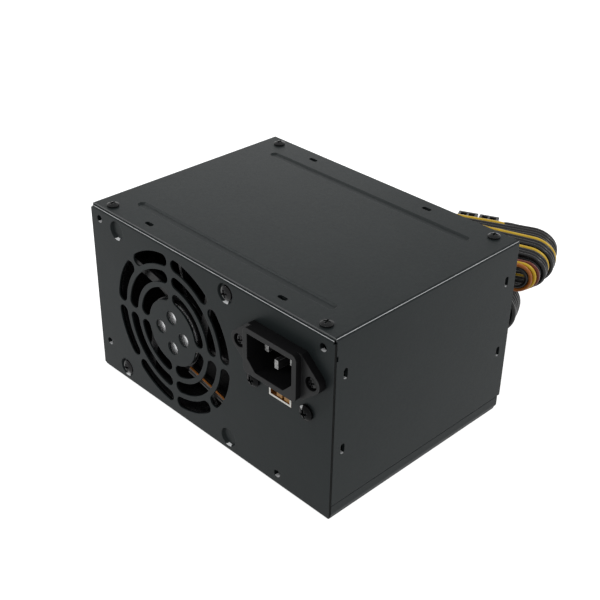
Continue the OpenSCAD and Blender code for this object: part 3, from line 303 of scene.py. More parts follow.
def processorTail(column, layer, end):
    # round the left end of the hank, along behind it and up into a plug that stands there
    row = plugRows["processor"]
    u, v, z = end
    cellU = row["mid"][0 if column > 1 else 1] + (0.5 if column % 2 else -0.5) * row["pitch"]
    cellV = row["v"] + (0.5 if z > row["outside"] else -0.5) * row["pitch"]
    runZ = row["low"] - row["drop"] - column * row["step"]
    r = z - row["axisZ"]
    heights = [z - r * row["fall"], row["axisZ"] - row["sag"], (row["axisZ"] + runZ) / 2]
    heights += [runZ + over for over in row["over"]]
    line = [(u - r * share - more, v + (cellV - v) * aside, height)
            for (share, more, aside), height in zip(row["turn"], heights)]
    line += [(cellU + a, cellV, runZ + b) for a, b in row["bend"]]
    return line + [(cellU, cellV, row["low"] - row["straight"]), (cellU, cellV, row["low"] + row["sunk"])]


def driveTail(column, layer, end):
    # an even double bend from the end of the run up to the rear of the plug
    row = plugRows["drive"]
    u, v, z = end
    cellV = row["mid"] + (2 * column + layer - (row["cells"] - 1) / 2) * row["pitch"]
    reach = u - row["rear"] - row["straight"]
    line = []
    for i in range(1, row["steps"] + 1):
        t = i / row["steps"]
        s = 2 * t * t if t < 0.5 else 1 - 2 * (1 - t) ** 2
        line.append((u - reach * t, v + (cellV - v) * s, z + (row["z"] - z) * s))
    return line + [(row["rear"], cellV, row["z"]), (row["rear"] - row["sunk"], cellV, row["z"])]


tails = {"main": mainTail, "processor": processorTail, "drive": driveTail}


def spread(points, perSpan):
    # a smooth line through the points
    padded = [points[0] * 2 - points[1]] + points + [points[-1] * 2 - points[-2]]
    out = []
    for i in range(1, len(padded) - 2):
        a, b, c, d = padded[i - 1:i + 3]
        for k in range(perSpan):
            t = k / perSpan
            out.append(0.5 * (2 * b + (c - a) * t + (2 * a - 5 * b + 4 * c - d) * t * t
                              + (3 * b - 3 * c + d - a) * t ** 3))
    out.append(points[-1])
    return out


def wireLine(name, cable, column, layer, spot):
    sign = -1.0 if cable["fromTop"] else 1.0
    slack = (random.random() - 0.5) * cableSet["loose"]
    hank = hankLine(cable, column, layer, slack, plugRows[name]["endU"])
    lap = cable["passes"][0]
    midV = lap["near"] + (len(cable["colours"][0]) - 1) / 2 * cable["pitch"]
    midZ = cable["bottom"] + lap["layers"][0] - sign * sum(lap["layers"]) / len(lap["layers"])
    route = [Vector(p) for p in cable["route"]] + [fromHank(cableSet["meetU"], midV, midZ)]
    ahead = route + [fromHank(cableSet["firstU"], midV, midZ)]
    flat = (midV - hank[0][1], hank[0][2] - midZ)
    points = []
    for i, p in enumerate(route):
        way = (ahead[i + 1] - (route[i - 1] if i else p)).normalized()
        side = way.cross(Vector((0, 0, 1))).normalized()
        up = side.cross(way)
        w = smooth((i - cableSet["spreadFrom"]) / (len(route) - cableSet["spreadEnds"]))
        right = spot[0] + (flat[0] - spot[0]) * w
        high = spot[1] + (flat[1] - spot[1]) * w
        points.append(p + side * right + up * high)
    points += [fromHank(*p) for p in hank]
    points += [fromHank(*p) for p in tails[name](column, layer, hank[-1])]
    return [p * mm for p in spread(points, cableSet["perSpan"])]


def makeWire(label, line, d):
    curve = bpy.data.curves.new(label, "CURVE")
    curve.dimensions = "3D"
    curve.bevel_depth = 1.0  # the points' radii give the thickness
    curve.bevel_resolution = cableSet["bevelSteps"]
    curve.use_fill_caps = True
    spline = curve.splines.new("POLY")
    spline.points.add(len(line) - 1)
    for point, place in zip(spline.points, line):
        point.co = (*place, 1)
        point.radius = d / 2 * mm
    wire = bpy.data.objects.new(label, curve)
    bpy.context.scene.collection.objects.link(wire)
    return wire


wires = {"black": [], "yellow": [], "orange": [], "red": []}


def makeCables():
    for name, cable in cables.items():
        count = sum(len(layer) for layer in cable["colours"])
        spots = bundleSpots(count, cable["core"], cable["wireD"])
        places = sortIntoColumns(spots, cable["colours"], not cable["fromTop"])
        made = 0
        for (column, layer), spot in places.items():
            colour = cable["colours"][layer][column]
            line = wireLine(name, cable, column, layer, spot)
            made += 1
            wire = makeWire("%sWire%02d" % (name, made), line, cable["wireD"])
            wires[colour].append(wire)
            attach(wire, "case")
            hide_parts(*cable["nodes"])


makeCables()

# shared shader effects

grainMix = {"peelScale": 0.16, "peelWeight": 1.4}  # the orange peel beside the fine grain
wearAndGlintRange = {"edge": (0.98, 0.80), "patchy": (0.42, 0.62)}
blotchRange = {
    "patch": (0.3, 0.7),
    "facing": (0.2, 1.0),
    "settled": (0.45, 0.75),
    "speckScale": 14.0,
    "dustTone": (0.42, 0.40, 0.37, 1),
}


def newGroup(name, inputs, outputs):
    tree = bpy.data.node_groups.new(name, "ShaderNodeTree")
    kinds = {"value": "NodeSocketFloat", "colour": "NodeSocketColor", "normal": "NodeSocketVector"}
    for label, kind, default in inputs:
        socket = tree.interface.new_socket(name=label, in_out="INPUT", socket_type=kinds[kind])
        if kind != "normal":
            socket.default_value = default
    for label, kind in outputs:
        tree.interface.new_socket(name=label, in_out="OUTPUT", socket_type=kinds[kind])
    return tree, tree.nodes.new("NodeGroupInput").outputs, tree.nodes.new("NodeGroupOutput").inputs


def addNode(tree, kind, values=None, **settings):
    node = tree.nodes.new("ShaderNode" + kind)
    for key, value in settings.items():
        setattr(node, key, value)
    for key, value in (values or {}).items():
        if isinstance(value, bpy.types.NodeSocket):
            tree.links.new(value, node.inputs[key])
        else:
            node.inputs[key].default_value = value
    return node


def mathNode(tree, operation, *values):
    return addNode(tree, "Math", dict(enumerate(values)), operation=operation).outputs[0]


def rangeNode(tree, value, limits):
    values = {"Value": value, "From Min": limits[0], "From Max": limits[1]}
    return addNode(tree, "MapRange", values).outputs[0]


def mixNode(tree, share, first, second):
    # colours sit on sockets 6 and 7 of the mix node, the result on 2
    return addNode(tree, "Mix", {"Factor": share, 6: first, 7: second}, data_type="RGBA").outputs[2]


def makeGrain():
    # fine grain over a soft orange peel, with the edges rounded
    tree, given, result = newGroup(
        "paintGrain",
        [("Grain Size", "value", 0.0004), ("Grain Height", "value", 0.00001), ("Edge", "value", 0.0003)],
        [("Normal", "normal"), ("Speck", "value")])
    place = addNode(tree, "TexCoord").outputs["Object"]
    size = mathNode(tree, "DIVIDE", 1.0, given["Grain Size"])
    fine = addNode(tree, "TexNoise", {"Vector": place, "Scale": size, "Detail": 3.0, "Roughness": 0.6})
    broad = mathNode(tree, "MULTIPLY", size, grainMix["peelScale"])
    peel = addNode(tree, "TexNoise", {"Vector": place, "Scale": broad, "Detail": 1.0})
    both = mathNode(tree, "MULTIPLY_ADD", peel.outputs["Fac"], grainMix["peelWeight"], fine.outputs["Fac"])
    bevel = addNode(tree, "Bevel", {"Radius": given["Edge"]}, samples=4)
    bump = addNode(tree, "Bump", {
        "Height": both, "Distance": given["Grain Height"], "Normal": bevel.outputs["Normal"]})
    tree.links.new(bump.outputs["Normal"], result["Normal"])
    tree.links.new(fine.outputs["Fac"], result["Speck"])
    return tree


def makeWearAndGlint():
    # 1 on the sharp edges, broken up by noise; it carries edge wear, and painted glints where a finish gives
    # the edges a bright tone
    tree, given, result = newGroup(
        "edgeWearAndGlint",
        [("Reach", "value", 0.0004), ("Amount", "value", 0.5), ("Break Size", "value", 0.002)],
        [("Wear And Glint", "value")])
    bevel = addNode(tree, "Bevel", {"Radius": given["Reach"]}, samples=4)
    plain = addNode(tree, "NewGeometry").outputs["Normal"]
    near = addNode(tree, "VectorMath", {0: bevel.outputs["Normal"], 1: plain}, operation="DOT_PRODUCT")
    edge = rangeNode(tree, near.outputs["Value"], wearAndGlintRange["edge"])
    place = addNode(tree, "TexCoord").outputs["Object"]
    size = mathNode(tree, "DIVIDE", 1.0, given["Break Size"])
    noise = addNode(tree, "TexNoise", {"Vector": place, "Scale": size, "Detail": 4.0})
    patchy = rangeNode(tree, noise.outputs["Fac"], wearAndGlintRange["patchy"])
    wearAndGlint = mathNode(tree, "MULTIPLY", edge, patchy)
    tree.links.new(mathNode(tree, "MULTIPLY", wearAndGlint, given["Amount"]), result["Wear And Glint"])
    return tree


def makeBlotch():
    # two tones of one colour in soft patches, with a little dust on what faces up
    tree, given, result = newGroup(
        "blotch",
        [("Tone A", "colour", (0.5, 0.5, 0.5, 1)), ("Tone B", "colour", (0.4, 0.4, 0.4, 1)),
         ("Patch Size", "value", 0.02), ("Dust", "value", 0.0)],
        [("Colour", "colour")])
    place = addNode(tree, "TexCoord").outputs["Object"]
    size = mathNode(tree, "DIVIDE", 1.0, given["Patch Size"])
    noise = addNode(tree, "TexNoise", {"Vector": place, "Scale": size, "Detail": 5.0, "Roughness": 0.6})
    patch = rangeNode(tree, noise.outputs["Fac"], blotchRange["patch"])
    tone = mixNode(tree, patch, given["Tone A"], given["Tone B"])
    up = addNode(tree, "SeparateXYZ", {0: addNode(tree, "NewGeometry").outputs["Normal"]}).outputs["Z"]
    facing = rangeNode(tree, up, blotchRange["facing"])
    speckSize = mathNode(tree, "MULTIPLY", size, blotchRange["speckScale"])
    specks = addNode(tree, "TexNoise", {"Vector": place, "Scale": speckSize, "Detail": 6.0, "Roughness": 0.8})
    settled = rangeNode(tree, specks.outputs["Fac"], blotchRange["settled"])
    dust = mathNode(tree, "MULTIPLY", mathNode(tree, "MULTIPLY", facing, settled), given["Dust"])
    tree.links.new(mixNode(tree, dust, tone, blotchRange["dustTone"]), result["Colour"])
    return tree


def makeStreak():
    # drawn or brushed metal: long scratches along one axis
    tree, given, result = newGroup(
        "drawnStreaks",
        [("Along", "normal", None), ("Fineness", "value", 3000.0), ("Depth", "value", 0.00001)],
        [("Streak", "value"), ("Normal", "normal")])
    place = addNode(tree, "TexCoord").outputs["Object"]
    pulled = addNode(tree, "VectorMath", {0: place, 1: given["Along"]}, operation="MULTIPLY").outputs[0]
    noise = addNode(tree, "TexNoise", {"Vector": pulled, "Scale": given["Fineness"], "Detail": 4.0})
    bump = addNode(tree, "Bump", {"Height": noise.outputs["Fac"], "Distance": given["Depth"]})
    tree.links.new(noise.outputs["Fac"], result["Streak"])
    tree.links.new(bump.outputs["Normal"], result["Normal"])
    return tree


grainGroup, wearAndGlintGroup, blotchGroup, streakGroup = makeGrain(), makeWearAndGlint(), makeBlotch(), makeStreak()
print("shader groups made")


def useGroup(tree, group, values):
    node = tree.nodes.new("ShaderNodeGroup")
    node.node_tree = group
    for key, value in values.items():
        node.inputs[key].default_value = value
    return node


def rgba(colour):
    return (*colour, 1.0)


# what a finish has when its dictionary doesn't say
plainFinish = {
    "dust": 0.0, "edge": 0.25, "wearAndGlintBreak": 2.5, "roughFrom": (0.3, 0.7),
    "metal": 0.0, "spec": 0.5, "specTint": (1.0, 1.0, 1.0), "coat": 0.0, "coatRough": 0.1,
}


def makeFinish(name, values):
    # one material from a dictionary of values, lengths in millimetres
    look = dict(plainFinish, **values)
    material = bpy.data.materials.new(name)
    material.use_nodes = True
    tree = material.node_tree
    shader = tree.nodes["Principled BSDF"]
    patch = useGroup(tree, blotchGroup, {
        "Tone A": rgba(look["tones"][0]), "Tone B": rgba(look["tones"][1]),
        "Patch Size": look["patch"] * mm, "Dust": look["dust"]})
    colour = patch.outputs["Colour"]
    if "wearAndGlint" in look:
        wearAndGlintNode = useGroup(tree, wearAndGlintGroup, {
            "Reach": look["wearAndGlintReach"] * mm, "Amount": look["wearAndGlint"], "Break Size": look["wearAndGlintBreak"] * mm})
        colour = mixNode(tree, wearAndGlintNode.outputs["Wear And Glint"], colour, rgba(look["wearAndGlintTone"]))
    tree.links.new(colour, shader.inputs["Base Color"])
    if "streakAlong" in look:
        streak = useGroup(tree, streakGroup, {
            "Along": look["streakAlong"], "Fineness": look["fineness"], "Depth": look["depth"] * mm})
        normal, varied = streak.outputs["Normal"], streak.outputs["Streak"]
    else:
        grain = useGroup(tree, grainGroup, {
            "Grain Size": look["grain"] * mm, "Grain Height": look["height"] * mm, "Edge": look["edge"] * mm})
        normal, varied = grain.outputs["Normal"], grain.outputs["Speck"]
    tree.links.new(normal, shader.inputs["Normal"])
    rough = addNode(tree, "MapRange", {
        "Value": varied, "From Min": look["roughFrom"][0], "From Max": look["roughFrom"][1],
        "To Min": look["rough"][0], "To Max": look["rough"][1]})
    tree.links.new(rough.outputs[0], shader.inputs["Roughness"])
    shader.inputs["Metallic"].default_value = look["metal"]
    shader.inputs["Specular IOR Level"].default_value = look["spec"]
    shader.inputs["Specular Tint"].default_value = rgba(look["specTint"])
    shader.inputs["Coat Weight"].default_value = look["coat"]
    shader.inputs["Coat Roughness"].default_value = look["coatRough"]
    return material


def dress(name, *materials):
    data = nodes[name].data
    data.materials.clear()
    for material in materials:
        data.materials.append(material)
    for polygon in data.polygons:
        polygon.material_index = 0
    return data


def paintFaces(data, index, test):
    count = 0
    for polygon in data.polygons:
        if test(polygon.center / mm, polygon.normal):
            polygon.material_index = index
            count += 1
    return count


# painted sheet metal

paint = {
    "tones": ((0.0105, 0.0136, 0.0142), (0.0132, 0.0166, 0.0173)),
    "patch": 30, "dust": 0.012, "wearAndGlint": 0.10, "wearAndGlintTone": (0.10, 0.105, 0.107), "wearAndGlintReach": 0.3,
    "rough": (0.34, 0.46), "spec": 0.11, "specTint": (0.93, 1.0, 1.0),
    "grain": 0.55, "height": 0.016, "edge": 0.3,
}
# bright tone painted on up-facing hole sills, the lower insides of dished corners and the upper left of a
# selector screw head: a painted highlight
highlightLook = {
    "tones": ((0.80, 0.81, 0.82), (0.62, 0.63, 0.64)),
    "patch": 1.5, "rough": (0.25, 0.45), "grain": 0.3, "height": 0.02, "edge": 0.1,
}
# bright tone for the middle of the folds: a painted highlight
foldHighlightLook = {
    "tones": ((0.62, 0.63, 0.64), (0.36, 0.37, 0.38)),
    "patch": 9, "rough": (0.3, 0.42), "spec": 0.4, "grain": 0.4, "height": 0.01, "edge": 0.1,
}
# a dimmer copy for the cover's cut front edge: a faint painted highlight
faintHighlightLook = dict(foldHighlightLook, tones=((0.085, 0.09, 0.092), (0.055, 0.058, 0.06)))
shaded = dict(paint, tones=((0.003, 0.003, 0.003), (0.004, 0.004, 0.004)), spec=0.03, wearAndGlint=0.0)
lit = dict(paint, tones=((0.019, 0.022, 0.0225), (0.022, 0.025, 0.0255)))
casePaint = makeFinish("casePaint", paint)
paintedHighlight = makeFinish("paintedHighlight", highlightLook)
foldHighlight = makeFinish("foldHighlight", foldHighlightLook)
cutEdgeHighlight = makeFinish("cutEdgeHighlight", faintHighlightLook)
seamShade = makeFinish("seamShade", shaded)
litPaint = makeFinish("litPaint", lit)

sheetHoles = {
    "lanceY": (-48.8, 49.0), "lanceSideZ": (33.4, 68.6), "lanceReach": 3.0, "sideX": 72.0,
    "fixing": ((-69, 80), (69, 80), (-69, 16), (45, 6)), "fixingR": 1.95, "frontY": -52.0, "sill": 0.8,
}


def onSill(p, n):
    # the sill of a punched hole, painted bright where light falls on it in the photo
    s = sheetHoles
    if n.z < s["sill"]:
        return False
    if abs(p.x) > s["sideX"] and any(abs(p.y - y) < s["lanceReach"] and abs(p.z - z) < s["lanceReach"]
                                     for y in s["lanceY"] for z in s["lanceSideZ"]):
        return True
    return p.y < s["frontY"] and any(math.hypot(p.x - x, p.z - z) < s["fixingR"] for x, z in s["fixing"])


foldLine = {"low": 0.65, "high": 0.75, "along": 0.1, "toSky": 0.3, "panY": -53.0, "sideX": 72.0, "top": 83.0}


def onPanFold(p, n):
    # the middle of the bend along the upper front edge, painted bright: a painted highlight
    f = foldLine
    upper = p.z > f["top"] and n.z > f["toSky"]
    return upper and p.y < f["panY"] and abs(n.x) < f["along"] and f["low"] < -n.y < f["high"]


def onCoverFold(p, n):
    # the middle of the bends along the upper side edges, painted bright: a painted highlight
    f = foldLine
    upper = p.z > f["top"] and n.z > f["toSky"]
    return upper and abs(p.x) > f["sideX"] and abs(n.y) < f["along"] and f["low"] < abs(n.x) < f["high"]


dishRim = {"x": (-56.75, 14.75), "z": (7.25, 78.75), "inner": 3.6, "outer": 4.7, "toSky": 0.86}


def onDishRim(p, n):
    # the lower inside of a dished corner, painted bright where light falls on it in the photo
    d = dishRim
    return p.y < sheetHoles["frontY"] and n.z > d["toSky"] and any(
        d["inner"] < math.hypot(p.x - x, p.z - z) < d["outer"] and p.z < z for x in d["x"] for z in d["z"])


frontCut = {"y": -53.0, "low": 84.5, "toFront": -0.7}


def onFrontCut(p, n):
    # the cut front edge of the cover's top, painted a little lighter: a faint painted highlight
    return n.y < frontCut["toFront"] and p.z > frontCut["low"] and p.y < frontCut["y"]


seam = {"x": 74.0, "y": -54.0, "toSide": 0.7}


def onSeam(p, n):
    # the cut side edges of the fan face, painted dark for the shade of the seam
    return abs(p.x) > seam["x"] and p.y < seam["y"] and abs(n.x) > seam["toSide"]


beadWall = {"y": 39.6, "reach": 2.4, "low": 85.0, "toFront": -0.3, "toSky": 0.3}


def onBeadWall(p, n):
    # the front-facing wall of a pressed bead, painted paler because it catches more light in the photo
    b = beadWall
    onBead = p.z > b["low"] and abs(abs(p.y) - b["y"]) < b["reach"]
    return onBead and n.y < b["toFront"] and n.z > b["toSky"]


pan = dress("base_pan", casePaint, paintedHighlight, foldHighlight, seamShade)
cover = dress("top_cover", casePaint, paintedHighlight, foldHighlight, cutEdgeHighlight, litPaint)
painted = [paintFaces(data, index, test) for data, index, test in (
    (pan, 1, onSill), (cover, 1, onSill), (pan, 1, onDishRim), (pan, 2, onPanFold),
    (cover, 2, onCoverFold), (cover, 3, onFrontCut), (pan, 3, onSeam), (cover, 4, onBeadWall))]
print("case dressed, faces of sills, rims, folds, cuts, seams and beads:", painted)

# fasteners

blackScrew = {
    "tones": ((0.004, 0.004, 0.0045), (0.006, 0.006, 0.0065)),
    "patch": 3, "wearAndGlint": 0.4, "wearAndGlintTone": (0.24, 0.25, 0.255), "wearAndGlintReach": 0.15,
    "rough": (0.09, 0.16), "spec": 0.2, "grain": 0.25, "height": 0.004, "edge": 0.2,
}
plainSteel = {
    "tones": ((0.56, 0.57, 0.58), (0.46, 0.47, 0.48)),
    "patch": 3, "rough": (0.22, 0.38), "metal": 1.0, "grain": 0.3, "height": 0.008, "edge": 0.15,
}
# a paler copy of the black screw for the heads on top, with more of the bright edge tone: painted glints on
# the rims
capScrew = dict(blackScrew, tones=((0.008, 0.0085, 0.009), (0.012, 0.0125, 0.013)),
                wearAndGlint=0.6, wearAndGlintReach=0.2, spec=0.18)
glossScrew = dict(blackScrew, wearAndGlint=0.5, rough=(0.05, 0.09), spec=0.06)
screwBlack = makeFinish("screwBlack", blackScrew)
steel = makeFinish("steel", plainSteel)
for name in ("fan_screws", "inlet_screws"):
    dress(name, screwBlack)
for name in ("inlet_nuts", "board_screws", "transistor_screws", "fan_shaft"):
    dress(name, steel)
dress("cover_screws", makeFinish("screwCap", capScrew))
selectorScrews = dress("selector_screws", makeFinish("screwGloss", glossScrew), paintedHighlight)
screwGlint = {"right": 46.0, "toSky": 0.35, "toLeft": -0.2, "toFront": -0.2}


def onScrewGlint(p, n):
    # the upper left of the right head, where the lamp shows in the photo: a painted reflection
    g = screwGlint
    return p.x > g["right"] and n.z > g["toSky"] and n.x < g["toLeft"] and n.y < g["toFront"]


print("fasteners dressed, glint faces:", paintFaces(selectorScrews, 1, onScrewGlint))

# fan

fanMould = {
    "tones": ((0.005, 0.005, 0.0055), (0.008, 0.008, 0.0085)),
    "patch": 9, "dust": 0.01, "rough": (0.2, 0.32), "spec": 0.13,
    "grain": 0.4, "height": 0.008, "edge": 0.3,
}
# the bright edge tone on the blades is a painted glint
rotorMouldWithGlints = dict(fanMould, wearAndGlint=0.8, wearAndGlintTone=(0.40, 0.40, 0.41), wearAndGlintReach=0.2)
foil = {
    "tones": ((0.96, 0.96, 0.97), (0.90, 0.91, 0.92)),
    "patch": 6, "rough": (0.24, 0.34), "metal": 0.75, "grain": 0.7, "height": 0.006, "edge": 0.1,
}
bronze = {
    "tones": ((0.42, 0.26, 0.09), (0.34, 0.20, 0.07)),
    "patch": 2, "rough": (0.35, 0.5), "metal": 1.0, "grain": 0.2, "height": 0.01,
}
copperCoil = {
    "tones": ((0.46, 0.17, 0.05), (0.34, 0.11, 0.03)),
    "patch": 2, "rough": (0.25, 0.4), "metal": 0.8,
    "streakAlong": (0.1, 1.0, 0.1), "fineness": 2600.0, "depth": 0.05,
}
magnetGrey = {
    "tones": ((0.05, 0.05, 0.052), (0.035, 0.035, 0.036)),
    "patch": 2, "rough": (0.5, 0.65), "grain": 0.3, "height": 0.02,
}
fanLead = {
    "tones": ((0.52, 0.185, 0.028), (0.42, 0.135, 0.020)),
    "patch": 4, "rough": (0.3, 0.42), "grain": 0.4, "height": 0.004, "edge": 0.1,
}
darkLeadAndShade = dict(fanLead, tones=((0.016, 0.014, 0.013), (0.012, 0.011, 0.010)))
dress("fan_frame", makeFinish("fanBlack", fanMould))
dress("fan_rotor", makeFinish("rotorBlack", rotorMouldWithGlints))
dress("fan_label", makeFinish("fanFoil", foil))
dress("fan_bearing", makeFinish("sinteredBronze", bronze))
dress("fan_stator", makeFinish("copperWinding", copperCoil))
dress("fan_magnet", makeFinish("magnetFerrite", magnetGrey))
leadSplit = {"fan": (-21.0, 43.0), "tilt": 13.0, "below": 14.6, "crown": 0.4}


def onDarkLeadAndShade(p, n):
    # dark all over on the wire that lies further from the hub; on the other, the lower flank is painted shade
    tilt = math.radians(leadSplit["tilt"])
    x, z = p.x - leadSplit["fan"][0], p.z - leadSplit["fan"][1]
    return -x * math.sin(tilt) - z * math.cos(tilt) > leadSplit["below"] or n.z < leadSplit["crown"]


leadData = dress("fan_lead", makeFinish("fanLeadOrange", fanLead), makeFinish("fanLeadDarkAndShade", darkLeadAndShade))
print("fan dressed, dark lead faces:", paintFaces(leadData, 1, onDarkLeadAndShade))

# mains inlet and selector

inletMould = {
    "tones": ((0.0125, 0.0130, 0.0135), (0.0165, 0.0170, 0.0175)),
    "patch": 8, "dust": 0.01, "rough": (0.36, 0.5), "spec": 0.13,
    "grain": 0.35, "height": 0.012, "edge": 0.35,
}
inletShade = dict(inletMould, tones=((0.004, 0.004, 0.0045), (0.006, 0.006, 0.0065)),
                  dust=0.0, spec=0.06, rough=(0.5, 0.65))
# dark pin metal whose bright edge tone is a painted glint; the tip copy is bright and patchy: a painted
# highlight
bladeSteelAndGlints = {
    "tones": ((0.06, 0.06, 0.06), (0.04, 0.04, 0.04)),
    "patch": 2, "wearAndGlint": 1.0, "wearAndGlintTone": (0.85, 0.85, 0.84), "wearAndGlintReach": 0.5,
    "rough": (0.3, 0.45), "metal": 0.6, "grain": 0.3, "height": 0.008, "edge": 0.4,
}
bladeTipHighlight = dict(bladeSteelAndGlints, tones=((0.62, 0.62, 0.61), (0.1, 0.1, 0.1)), patch=1.4, metal=0.0, wearAndGlintReach=0.35)
selectorWhite = {
    "tones": ((0.84, 0.83, 0.79), (0.76, 0.75, 0.70)),
    "patch": 3, "dust": 0.05, "rough": (0.4, 0.55), "grain": 0.3, "height": 0.006, "edge": 0.15,
}
knobOrange = {
    "tones": ((0.36, 0.170, 0.022), (0.29, 0.125, 0.017)),
    "patch": 3, "rough": (0.35, 0.5), "grain": 0.3, "height": 0.008, "edge": 0.2,
}
# a darker copy of the knob's orange for the recessed faces inside the window: painted shade
windowShadeBrown = dict(knobOrange, tones=((0.20, 0.075, 0.016), (0.15, 0.055, 0.012)))
inletFaces = {"front": -0.7, "tip": -0.9}  # how far they face the front
selectorPlace = {"x": 46.5, "z": 46.6, "halfX": 8.4, "halfZ": 3.05, "front": -54.95}


# the recessed faces inside the window, painted the darker orange: painted shade
def inWindow(p, n):
    s = selectorPlace
    return abs(p.x - s["x"]) < s["halfX"] and abs(p.z - s["z"]) < s["halfZ"] and p.y > s["front"]


def inOpening(p, n):
    # all that doesn't face the front, painted dark for the shade inside
    return n.y > inletFaces["front"]


# the pin tips, painted bright: a painted highlight
def onTip(p, n):
    return n.y < inletFaces["tip"]


for name, outside, inside, test in (
        ("inlet_body", ("inletBlack", inletMould), ("inletShade", inletShade), inOpening),
        ("inlet_pins", ("bladeSteelAndGlints", bladeSteelAndGlints), ("bladeTipHighlight", bladeTipHighlight), onTip),
        ("selector_body", ("selectorWhite", selectorWhite), ("windowShadeBrown", windowShadeBrown), inWindow)):
    paintFaces(dress(name, makeFinish(*outside), makeFinish(*inside)), 1, test)
dress("selector_slider", makeFinish("knobOrange", knobOrange))
print("inlet and selector dressed")

# board and what stands on it

boardLook = {
    "tones": ((0.30, 0.17, 0.06), (0.24, 0.13, 0.045)),
    "patch": 5, "dust": 0.2, "rough": (0.4, 0.55), "grain": 0.8, "height": 0.02,
}
filmLook = {
    "tones": ((0.62, 0.58, 0.44), (0.56, 0.52, 0.40)),
    "patch": 14, "rough": (0.3, 0.4), "grain": 1.0, "height": 0.004,
}
brassLook = {
    "tones": ((0.52, 0.36, 0.11), (0.45, 0.30, 0.09)),
    "patch": 3, "rough": (0.22, 0.36), "metal": 1.0, "grain": 0.3, "height": 0.006,
}
sinkLook = {
    "tones": ((0.60, 0.61, 0.62), (0.52, 0.53, 0.54)),
    "patch": 9, "dust": 0.1, "rough": (0.25, 0.42), "metal": 1.0,
    "streakAlong": (1.0, 0.03, 1.0), "fineness": 2400.0, "depth": 0.008,
}
epoxyLook = {
    "tones": ((0.016, 0.016, 0.017), (0.022, 0.022, 0.022)),
    "patch": 3, "rough": (0.42, 0.6), "grain": 0.25, "height": 0.012, "edge": 0.2,
}
woundLook = {
    "tones": ((0.60, 0.38, 0.04), (0.52, 0.31, 0.03)),
    "patch": 5, "dust": 0.1, "rough": (0.3, 0.45),
    "streakAlong": (0.04, 0.04, 1.0), "fineness": 900.0, "depth": 0.03,
}
coreLook = {
    "tones": ((0.045, 0.046, 0.048), (0.032, 0.033, 0.034)),
    "patch": 4, "dust": 0.1, "rough": (0.45, 0.62), "grain": 0.3, "height": 0.02,
}
sleeveLook = {
    "tones": ((0.012, 0.020, 0.055), (0.010, 0.016, 0.045)),
    "patch": 8, "dust": 0.08, "rough": (0.22, 0.32), "grain": 1.2, "height": 0.006,
}
smallSleeveLook = {
    "tones": ((0.020, 0.020, 0.024), (0.028, 0.028, 0.031)),
    "patch": 5, "dust": 0.08, "rough": (0.22, 0.32), "grain": 1.0, "height": 0.006,
}
filmCapLook = {
    "tones": ((0.56, 0.40, 0.07), (0.50, 0.35, 0.06)),
    "patch": 5, "dust": 0.1, "rough": (0.35, 0.5), "grain": 0.4, "height": 0.008,
}
fuseLook = {
    "tones": ((0.66, 0.70, 0.70), (0.60, 0.64, 0.65)),
    "patch": 4, "rough": (0.1, 0.2), "grain": 0.8, "height": 0.003, "coat": 0.5,
}
thermistorLook = {
    "tones": ((0.030, 0.042, 0.028), (0.024, 0.034, 0.022)),
    "patch": 2, "rough": (0.4, 0.55), "grain": 0.5, "height": 0.02,
}
sinkAluminium = makeFinish("sinkAluminium", sinkLook)
epoxy = makeFinish("epoxyBlack", epoxyLook)
woundTape = makeFinish("woundTape", woundLook)
ferriteCore = makeFinish("ferriteCore", coreLook)
dress("main_board", makeFinish("boardPaper", boardLook))
dress("insulating_sheet", makeFinish("insulatingFilm", filmLook))
dress("board_standoffs", makeFinish("standoffBrass", brassLook))
for name in ("primary_heatsink", "secondary_heatsink"):
    dress(name, sinkAluminium)
for name in ("power_transistors", "output_rectifiers", "bridge_rectifier"):
    dress(name, epoxy)
for name in ("output_toroid", "line_choke"):
    dress(name, makeFinish(name + "Coil", copperCoil))
dress("x_capacitor", makeFinish("filmCapacitor", filmCapLook))
dress("fuse", makeFinish("fuseGlass", fuseLook), steel)
dress("thermistor", makeFinish("thermistorCoat", thermistorLook))

# shares of the half sizes, then heights in millimetres
coreShape = {"across": 0.53, "legs": 0.58, "base": 0.28, "yoke": 1.0, "foot": 6.0}


def dressTransformer(name):
    # tape on the winding, ferrite round it
    data = dress(name, woundTape, ferriteCore)
    low, high = (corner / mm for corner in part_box(name))
    mid = (low + high) / 2
    half = (high - low) / 2

    def onCore(p, n):
        c = coreShape
        if p.z < low.z + half.z * c["base"]:
            return True
        outer = abs(p.x - mid.x) > half.x * c["legs"] or p.z > high.z - c["yoke"] or p.z < low.z + c["foot"]
        return outer and abs(p.y - mid.y) < half.y * c["across"]

    paintFaces(data, 1, onCore)


canTop = {"deep": 0.6, "toSky": 0.9}


def dressCans(name, sleeve):
    # the sleeve leaves the aluminium top bare
    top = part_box(name)[1].z / mm

    def onTop(p, n):
        return p.z > top - canTop["deep"] and n.z > canTop["toSky"]

    paintFaces(dress(name, sleeve, sinkAluminium), 1, onTop)


for name in ("main_transformer", "standby_transformer", "driver_transformer"):
    dressTransformer(name)
dressCans("bulk_capacitors", makeFinish("canSleeve", sleeveLook))
dressCans("output_capacitors", makeFinish("smallSleeve", smallSleeveLook))
print("board dressed")

# cables and their fittings

